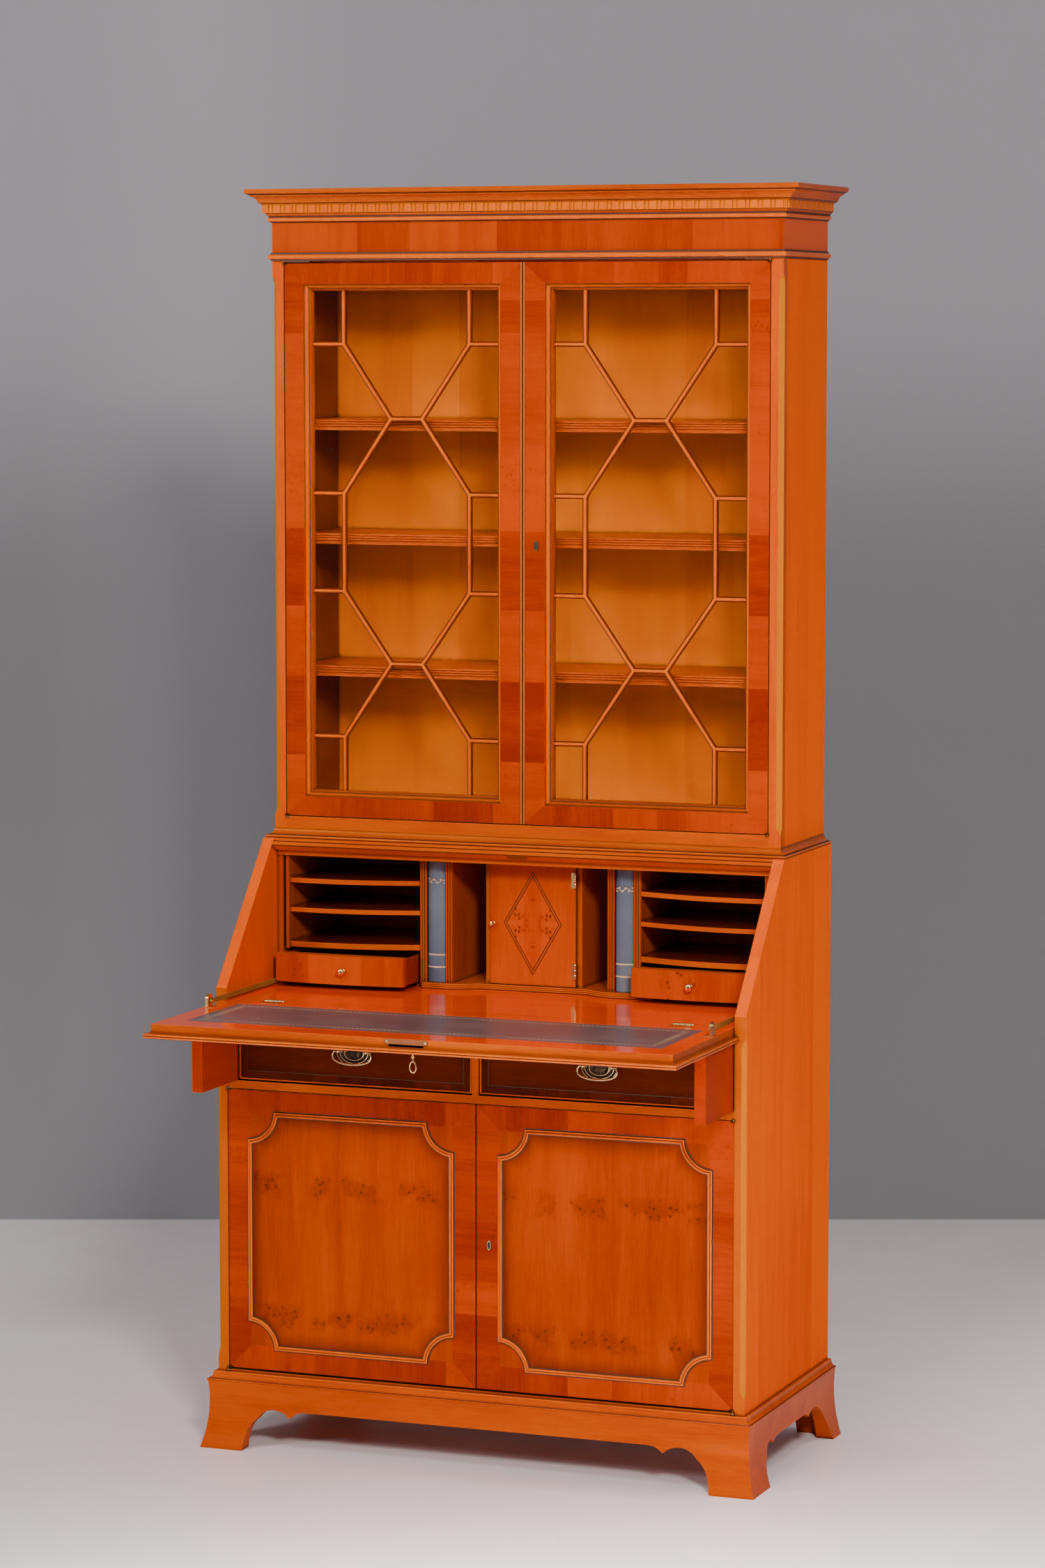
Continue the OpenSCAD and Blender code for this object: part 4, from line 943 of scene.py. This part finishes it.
def backplate():
    mesh = Mesh()
    back = plate_high[1]
    wide, tall = (plate_high[0] - plate_low[0]) / 2, (plate_high[2] - plate_low[2]) / 2
    rings = [(1.0, 0.0), (1.0, 0.9), (0.97, 1.3), (0.93, 1.2), (0.91, 0.7), (0.85, 0.6), (0.83, 1.3),
             (0.79, 1.6), (0.75, 1.3), (0.73, 0.7), (0.60, 0.8), (0.58, 1.5), (0.54, 1.7), (0.50, 1.4),
             (0.48, 0.9), (0.30, 1.2), (0.26, 1.9), (0.16, 2.0), (0.02, 2.0)]
    bands = ((0, 2, OLD_BRASS), (2, 6, PLATE), (6, 7, OLD_BRASS), (7, 11, PLATE), (11, 12, OLD_BRASS),
             (12, 18, PLATE))
    for start, end, look in bands:
        mesh.rows([oval_row(wide * s, tall * s, back - out) for s, out in rings[start:end + 1]], look, wrap=True)
    for k in range(12):
        a = math.tau * k / 12
        mesh.turned((HANDLE_X + 0.40 * wide * math.cos(a), back - 1.0, HANDLE_Z + 0.40 * tall * math.sin(a)),
                    [(1.5, 0.2), (1.3, -0.5), (0.7, -1.0), (0.05, -1.1)], PLATE, steps=10)
    for side in (-1, 1):
        mesh.turned((HANDLE_X + side * POST_X, back, BAIL_Z),
                    [(0.05, -0.2), (4.6, -0.2), (4.6, -1.6), (3.0, -3.0), (2.3, -5.0), (2.5, -7.0), (2.9, -9.0),
                     (2.9, -12.4), (2.0, -13.6), (0.05, -14.0)],
                    OLD_BRASS, steps=20)
    return mesh


def bail():
    mesh = Mesh()
    half = [(21.0, 0.0), (27.0, 0.0), (31.6, -0.4)] + bend((33.2, -2.0), (36.2, -7.5), (33.2, -12.4), 6)[1:]
    half += bend((32.2, -13.8), (26, -19.6), (9, -21.0), 7) + [(0, -21.4)]
    path = half + [(-u, v) for u, v in reversed(half[:-1])]
    mesh.tube([(HANDLE_X + u, BAIL_Y, BAIL_Z + v) for u, v in path], lambda t: 1.5 + 0.7 * math.sin(math.pi * t) ** 4,
              OLD_BRASS, steps=14)
    return mesh


both(long_drawer, "drawer", "drawer_{}", ["long_drawer_{}"], "yew_veneer", bevel=0)
both(backplate, "handle_plate", "drawer_{}", ["backplate_{}"], "antique_brass", bevel=0, smooth=50)
both(bail, "handle_bail", "handle_{}", ["bail_{}"], "antique_brass", bevel=0, smooth=60)

# ---- The fall ----

fall_low, fall_high = extent("flap_board")
FALL_HALF, FALL_FRONT = 449.5, -298.5  # the board inside its moulded lip
hide_low, hide_high = extent("flap_leather")


def fall():
    mesh = Mesh()
    half, front, rear = FALL_HALF, FALL_FRONT, fall_high[1]
    base, top = fall_low[2], fall_high[2]
    x0, x1, y0, y1 = hide_low[0], hide_high[0], hide_low[1], hide_high[1]
    outer = [(-half, front), (half, front), (half, rear), (-half, rear)]
    inner = [(x0, y0), (x1, y0), (x1, y1), (x0, y1)]
    for i in range(4):
        k = (i + 1) % 4
        mesh.face([(x, y, top) for x, y in (outer[i], outer[k], inner[k], inner[i])], FLAP_TOP)
    mesh.rows([[(x0, y0, h), (x1, y0, h), (x1, y1, h), (x0, y1, h)] for h in (top, top - 1.2)], STRING, wrap=True)
    mesh.face([(-half, rear, base), (half, rear, base), (half, front, base), (-half, front, base)], MOULD_X)
    mesh.rows([[(-half, rear, h), (half, rear, h), (half, front, h), (-half, front, h)] for h in (base, top)],
              MOULD_X, wrap=True)
    return mesh


def fall_lip():
    """The moulded edge on three sides: a bead over a cove, over three reeds. Narrower at the ends than at the front."""
    mesh = Mesh()
    top = fall_high[2] - 14.4
    base = fall_low[2]
    across = [(-3, top), (0.2, top + 1.2), (1.6, top + 0.2)] + bend((3, top - 0.2), (8, top - 0.2), (9.2, top - 0.6),
            4)
    reeds = beads((9.6, top - 0.8), (9.6, base + 0.3), 2, 1.8)
    profile = across + reeds + [(9.0, base), (-3, base)]
    quirk = len(across) - 1
    half, front, rear = FALL_HALF, FALL_FRONT, -1.6
    side = 9.1 / 11.5  # how far the lip stands out at the ends, against the front
    ends = [(-half - e * (side if e > 0 else 1), front - e, z) for e, z in profile]
    left = [[(x, rear, z) for x, y, z in ends], ends]
    right = [[(-x, y, z) for x, y, z in row] for row in reversed(left)]
    # Quirks that carry painted shade; the bead and reeds take the painted highlight colour.
    shaded_quirks = (2, quirk, quirk + 6, quirk + 7, quirk + 8, quirk + 13, quirk + 14)
    for a, b in ((left[0], left[1]), (left[1], right[0]), (right[0], right[1])):
        for j in range(len(profile)):
            k = (j + 1) % len(profile)
            mesh.rows([[a[j], a[k]], [b[j], b[k]]],
                      PAINTED_SHADE_LINE if j in shaded_quirks else BEAD if quirk < j < quirk + 13 else MOULD_X)
    mesh.face(left[0], MOULD_X)
    mesh.face(list(reversed(right[1])), MOULD_X)
    mesh.piece("fall_lip", "flap", [], "yew_moulding", bevel=0, smooth=35)


def leather_top():
    mesh = Mesh()
    top = hide_high[2] - 0.2
    x0, x1, y0, y1 = hide_low[0] + 0.3, hide_high[0] - 0.3, hide_low[1] + 0.3, hide_high[1] - 0.3
    mesh.box((x0, y0, hide_low[2]), (x1, y1, top), LEATHER)
    mesh.piece("leather_panel", "flap", ["flap_leather"], "writing_leather", bevel=0.3)
    gilt = Mesh()
    raised = top + 0.06
    for inset, width in ((16.0, 0.8), (24.0, 0.8)):
        gilt.rows([[(x0 + d, y0 + d, raised), (x1 - d, y0 + d, raised), (x1 - d, y1 - d, raised),
                    (x0 + d, y1 - d, raised)]
                   for d in (inset, inset + width)], GILT, wrap=True)
    step, mid = 8.0, 20.4
    for fixed, start, end, along_x in ((y0 + mid, x0 + mid, x1 - mid, True), (y1 - mid, x0 + mid, x1 - mid, True),
                                       (x0 + mid, y0 + mid, y1 - mid, False), (x1 - mid, y0 + mid, y1 - mid, False)):
        count = int((end - start) / step)
        for k in range(count + 1):
            at = start + (end - start) * k / count
            c = (at, fixed) if along_x else (fixed, at)
            gilt.face([(c[0] + u, c[1] + v, raised) for u, v in ((2, 0), (0, 2), (-2, 0), (0, -2))], GILT)
    gilt.piece("leather_tooling", "flap", [], "writing_leather", bevel=0)


fall().piece("fall_board", "flap", ["flap_board"], "yew_veneer", bevel=0.9)
fall_lip()
leather_top()


def lock_screws():
    mesh = Mesh()
    low = extent("flap_lock")[0]
    for side in (-1, 1):
        mesh.turned((side * 33, low[1] + 0.2, 763), [(0.05, -0.5), (1.4, -0.45), (2.1, -0.1), (2.1, 0.4)], BRASS,
                    steps=20)
    mesh.piece("lock_screws", "flap", [], "polished_brass", bevel=0)


def key():
    mesh = Mesh()
    low, high = extent("flap_key")
    y = (low[1] + high[1]) / 2
    ring_z, top = low[2] + 10, high[2]
    mesh.tube([(5.5 * math.cos(a), y, ring_z + 9 * math.sin(a)) for a in turns(40)], 1.05, BRASS, steps=12,
              closed=True)
    mesh.turned((0, y, ring_z + 9), [(0.05, -0.6), (2.2, -0.6), (2.5, 0.6), (1.9, 2.0), (1.8, 5.0), (3.1, 5.6),
            (3.1, 8.2), (2.0, 8.8), (2.0, top - ring_z - 9)], BRASS, axis="z", steps=24)
    mesh.piece("fall_key", "key", ["flap_key"], "polished_brass", bevel=0, smooth=50)


lock_screws()
key()

# ---- Gallery ----

centre_low, centre_high = extent("centre_door")


def centre_door():
    mesh = Mesh()
    x0, x1, y0, y1, z0, z1 = centre_low[0], centre_high[0], centre_low[1], centre_high[1], centre_low[2], centre_high[2]
    mid_z = (z0 + z1) / 2 + 3
    reach, rise = 53, 89

    def diamond(inset):
        grow = 1 - inset / 45.0
        return [(-reach * grow, y0, mid_z), (0, y0, mid_z - rise * grow), (reach * grow, y0, mid_z),
                (0, y0, mid_z + rise * grow)]
    corners = upright((x0, x1), y0, (z0, z1))
    outer = diamond(0)
    mids = [(x0, y0, mid_z), (0, y0, z0), (x1, y0, mid_z), (0, y0, z1)]
    for i in range(4):
        a, b = outer[i], outer[(i + 1) % 4]
        mesh.face([mids[i], corners[i], mids[(i + 1) % 4], b, a], LEAF)
    for start, end, look in ((0, 1.4, STRING), (1.4, 4.0, LEAF), (4.0, 5.4, STRING)):
        mesh.rows([diamond(start), diamond(end)], look, wrap=True)
    inner = diamond(5.4)
    for i in range(4):
        mesh.face([(0, y0, mid_z), inner[i], inner[(i + 1) % 4]], BURR_FINE)
    mesh.rows([corners, [(x, y1, z) for x, y, z in corners]], MOULD_Z, wrap=True)
    mesh.face([(x, y1, z) for x, y, z in reversed(corners)], MOULD_Z)
    mesh.piece("gallery_door_leaf", "gallery_door", ["centre_door"], "yew_veneer", bevel=0)


def centre_fittings():
    mesh = Mesh()
    y0 = centre_low[1]
    mesh.turned((-71.5, y0, 883), [(0.05, 0), (3.4, 0), (3.2, -0.8), (1.5, -1.6), (1.4, -4.4), (2.2, -5.4),
                                   (4.0, -7.0), (4.3, -9.0), (3.4, -11.0), (0.05, -11.8)], BRASS, steps=28)
    for z in (792, 948):
        for part in range(3):
            a = z + 9 * part
            mesh.turned((78, 263.4, a), [(0.05, 0.2), (1.8, 0.2), (2.0, 0.5), (2.0, 8.5), (1.8, 8.8), (0.05, 8.8)],
                        BRASS, axis="z", steps=20)
        mesh.box((70, y0 - 0.7, z), (77, y0, z + 27), BRASS)
    mesh.piece("gallery_door_fittings", "gallery_door", ["centre_brass"], "polished_brass", bevel=0, smooth=50)


def base_moulding():
    low, high = extent("gallery_base")
    mesh = Mesh()
    base, top = low[2], high[2]
    half = bend((201, 262), (201, 239.5), (187, 239.5), 6) + bend((152, 239.5), (128, 240.5), (100, 262), 8)
    path = half + [(-x, y) for x, y in reversed(half)]
    reeds = beads((0, top - 0.2), (0, base), 3, 1.7, 5)
    back = 440
    count = len(path)
    rows = []
    for i, (x, y) in enumerate(path):
        a, b = path[max(0, i - 1)], path[min(count - 1, i + 1)]
        tx, ty = b[0] - a[0], b[1] - a[1]
        size = math.hypot(tx, ty)
        nx, ny = -ty / size, tx / size
        if ny > 0:
            nx, ny = -nx, -ny
        rows.append([(x + nx * (e - 1.4), y + ny * (e - 1.4), z) for e, z in reeds])
    for j in range(len(reeds) - 1):
        # Painted shade between the reeds and the painted highlight colour on them.
        mesh.rows([[row[j], row[j + 1]] for row in rows], PAINTED_SHADE_LINE if j % 6 > 3 else BEAD)
    for z in (top, base):
        mesh.face([(x, y + 0.6, z) for x, y in path] + [(-201, back, z), (201, back, z)], MOULD_X)
    for side in (-1, 1):
        mesh.box((side * 201 if side > 0 else -431, 264, base), (431 if side > 0 else -201, back, top - 0.8), MOULD_X)
    mesh.piece("reeded_base", "case", ["gallery_base"], "yew_moulding", bevel=0, smooth=50)


centre_door()
centre_fittings()
base_moulding()


def small_drawer(side):
    node = "small_drawer_" + side
    low, high = extent(node)
    flip = -1 if side == "left" else 1
    x0, x1 = (199, 436.3)
    bow, corner = 10, low[1] + 10
    chord = x1 - x0
    radius = (chord * chord / 4 + bow * bow) / (2 * bow)
    mid = (x0 + x1) / 2
    steps = 24

    def front(x):
        return corner - bow + radius - math.sqrt(radius * radius - (x - mid) ** 2)
    xs = [x0 + chord * k / steps for k in range(steps + 1)]
    mesh = Mesh()
    z0, z1 = low[2], high[2]
    curve = [(flip * x, front(x)) for x in xs]
    mesh.rows([[(x, y, z0) for x, y in curve], [(x, y, z1) for x, y in curve]], SMALL)
    inner = corner + 15
    for z in (z0, z1):
        mesh.face([(x, y, z) for x, y in curve] + [(flip * x1, inner, z), (flip * x0, inner, z)], MOULD_X)
    for x in (x0, x1):
        mesh.face([(flip * x, front(x), z0), (flip * x, inner, z0), (flip * x, inner, z1), (flip * x, front(x), z1)],
                  SMALL)
    mesh.face([(flip * x0, inner, z0), (flip * x1, inner, z0), (flip * x1, inner, z1), (flip * x0, inner, z1)], INNER)
    drawer_box(mesh, sorted((flip * 203, flip * 430)), (inner, high[1]), (z0, z1 - 4), 6, z0 + 5)
    mesh.piece("bow_drawer_" + side, "small_" + side[0], [node], "yew_veneer_light", bevel=0.5)
    knob_low, knob_high = extent("knob_" + side)
    c = ((knob_low[0] + knob_high[0]) / 2, corner - bow, (knob_low[2] + knob_high[2]) / 2)
    knob = Mesh()
    knob.turned(c, [(0.05, 1.4), (4.2, 0.6), (4.2, -0.6), (2.4, -1.6), (2.1, -4.5), (3.2, -6.4), (6.0, -7.6),
                    (7.0, -9.4), (6.7, -11.2), (4.8, -12.8), (2.2, -13.4), (0.05, -13.5)], BRASS, steps=32)
    knob.piece("drawer_knob_" + side, "small_" + side[0], ["knob_" + side], "polished_brass", bevel=0, smooth=60)


small_drawer("left")
small_drawer("right")

spine_low, spine_high = extent("book_spine_right")


def book_spine():
    mesh = Mesh()
    x0, x1, z0, z1 = spine_low[0], spine_high[0], spine_low[2], spine_high[2]
    y0, y1 = spine_low[1], spine_high[1]
    mid, steps = (x0 + x1) / 2, 16
    xs = [x0 + (x1 - x0) * k / steps for k in range(steps + 1)]
    swell = [(x, y0 + 6.2 * abs((x - mid) / (x1 - mid)) ** 2.2) for x in xs]
    mesh.rows([[(x, y, z0) for x, y in swell], [(x, y, z1) for x, y in swell]], SPINE)
    for z in (z0, z1):
        mesh.face([(x, y, z) for x, y in swell] + [(x1, y1, z), (x0, y1, z)], SPINE)
    mesh.face(upright((x0, x1), y1, (z0, z1)), SPINE)
    for x, y in (swell[0], swell[-1]):
        mesh.face([(x, y, z0), (x, y1, z0), (x, y1, z1), (x, y, z1)], SPINE)
    for z, tall in ((z1 - 0.773 * (z1 - z0) - 1.3, 2.6), (z1 - 0.876 * (z1 - z0) - 1.3, 2.6)):
        mesh.rows([[(x, y - 0.25, z) for x, y in swell], [(x, y - 0.25, z + tall) for x, y in swell]], GILT)
    high = z1 - 0.159 * (z1 - z0)
    vine = [(x, y - 0.3, high + 2.2 * math.sin(math.tau * (x - x0) / 17)) for x, y in swell]
    mesh.rows([[(x, y, z - 0.7) for x, y, z in vine], [(x, y, z + 0.7) for x, y, z in vine]], GILT)
    for k in range(6):
        x = x0 + 3 + (x1 - x0 - 6) * k / 5
        y = y0 + 6.2 * abs((x - mid) / (x1 - mid)) ** 2.2 - 0.4
        z = high + (3.0 if k % 2 else -3.0)
        mesh.face([(x - 2.4, y, z), (x, y, z - 1.5), (x + 2.4, y, z + 0.6), (x + 0.4, y, z + 1.8)], GILT)
    return mesh


both(book_spine, "book_back", "docs_{}", ["book_spine_{}"], "spine_leather", bevel=0)

# ---- Room, lamps and camera ----

CAMERA_PLACE = (2752.8, -6931.7, 1881.3)
CAMERA_TURN, CAMERA_DIP = 21.06, 5.615  # degrees
SENSOR, LENS = 36, 104.78
WALL_AWAY = 9.62  # metres from the camera


def studio_wall():
    """A grey backdrop, lighter towards the top and clear when seen from behind."""
    g = Graph("studio_wall")
    across, height, _ = g.split(g.place())
    # Painted light: the wall is darker low down and lighter towards the top.
    lower_painted_light = g.mix(g.ramp(height, 0.0, 1.1), (0.205, 0.200, 0.212), (0.150, 0.147, 0.156))
    colour = g.mix(g.ramp(height, 1.30, 2.05), lower_painted_light, (0.265, 0.252, 0.272))
    # A painted pool of light on the wall, to the left.
    painted_light_pool = g.ramp(g.size(g.add(across, 0.66)), 0.38, 0.0)
    g.feed("Base Color", g.mix(g.mul(painted_light_pool, 0.40), colour, (0.35, 0.34, 0.362)))
    g.feed("Roughness", 0.9)
    back_side = g.nodes.new("ShaderNodeNewGeometry").outputs["Backfacing"]
    g.blend_shaders(back_side, g.nodes.new("ShaderNodeBsdfTransparent"))
    return g.mat


def studio_floor():
    """Polished pale concrete with faint veins."""
    g = Graph("studio_floor")
    where = g.place()
    cloud = g.noise(where, 2.2, 5.0, 0.6, 0.6)
    veins = g.ramp(g.size(g.sub(g.noise(where, 3.1, 4.0, 0.55, 1.5), 0.5)), 0.012, 0.0)
    colour = g.mix(g.ramp(cloud, 0.35, 0.65), (0.97, 0.865, 0.875), (0.91, 0.80, 0.81))
    g.feed("Base Color", g.mix(g.mul(veins, 0.25), colour, (0.98, 0.95, 0.95)))
    g.feed("Roughness", g.ramp(cloud, 0.3, 0.7, 0.30, 0.40))
    return g.mat


def floor_and_wall():
    """A pale floor, and a wall square to the camera behind the desk."""
    aim = math.radians(CAMERA_TURN)
    away = (-math.sin(aim), math.cos(aim))
    eye = place(CAMERA_PLACE)
    bpy.ops.mesh.primitive_plane_add(size=30, location=(0, 0, cad_low[2]))
    floor = bpy.context.object
    floor.name = "studio_floor"
    floor.data.materials.append(studio_floor())
    bpy.ops.mesh.primitive_plane_add(size=30, location=(eye[0] + WALL_AWAY * away[0], eye[1] + WALL_AWAY * away[1],
            0), rotation=(math.radians(90), 0, aim))
    wall = bpy.context.object
    wall.name = "studio_wall"
    wall.data.materials.append(studio_wall())


def lamp(name, place_at, aim, size, power, colour=(1, 1, 1), spread=180):
    light = bpy.data.lights.new(name, "AREA")
    light.shape, light.size, light.energy, light.color = "SQUARE", size, power, colour
    light.spread = math.radians(spread)
    obj = bpy.data.objects.new(name, light)
    bpy.context.scene.collection.objects.link(obj)
    obj.location = place_at
    obj.rotation_euler = (Vector(aim) - Vector(place_at)).to_track_quat("-Z", "Y").to_euler()


floor_and_wall()
WARM_FLOOR = (1.0, 0.95, 0.955)
lamp("key_light", (3.1, -5.2, 3.9), (0, 0, 1.1), 0.9, 335, (1.0, 0.97, 0.93))
lamp("fill_light", (-3.4, -5.0, 3.2), (0, 0, 1.0), 1.2, 130, (0.96, 0.98, 1.0))
lamp("front_light", (-0.2, -3.4, 4.9), (0, 0, 0.4), 1.4, 96)
lamp("floor_light", (0.9, -1.9, 3.9), (0.9, -1.75, 0), 1.2, 90, WARM_FLOOR, spread=42)
lamp("side_floor_light", (2.0, 0.1, 3.6), (1.5, 0.8, 0), 1.0, 8, WARM_FLOOR, spread=50)
lamp("rear_light", (-1.6, 5.6, 3.8), (0, 0, 1.0), 1.6, 70, (0.97, 0.98, 1.0))

world = bpy.data.worlds.new("studio")
bpy.context.scene.world = world
world.use_nodes = True
sky = world.node_tree.nodes["Background"].inputs
sky["Color"].default_value, sky["Strength"].default_value = (0.75, 0.76, 0.80, 1), 0.23

camera_data = bpy.data.cameras.new("camera")
camera_data.sensor_fit, camera_data.sensor_height, camera_data.lens = "VERTICAL", SENSOR, LENS
camera = bpy.data.objects.new("camera", camera_data)
camera.location = place(CAMERA_PLACE)
camera.rotation_euler = (math.radians(90 - CAMERA_DIP), 0, math.radians(CAMERA_TURN))
bpy.context.scene.collection.objects.link(camera)
bpy.context.scene.camera = camera
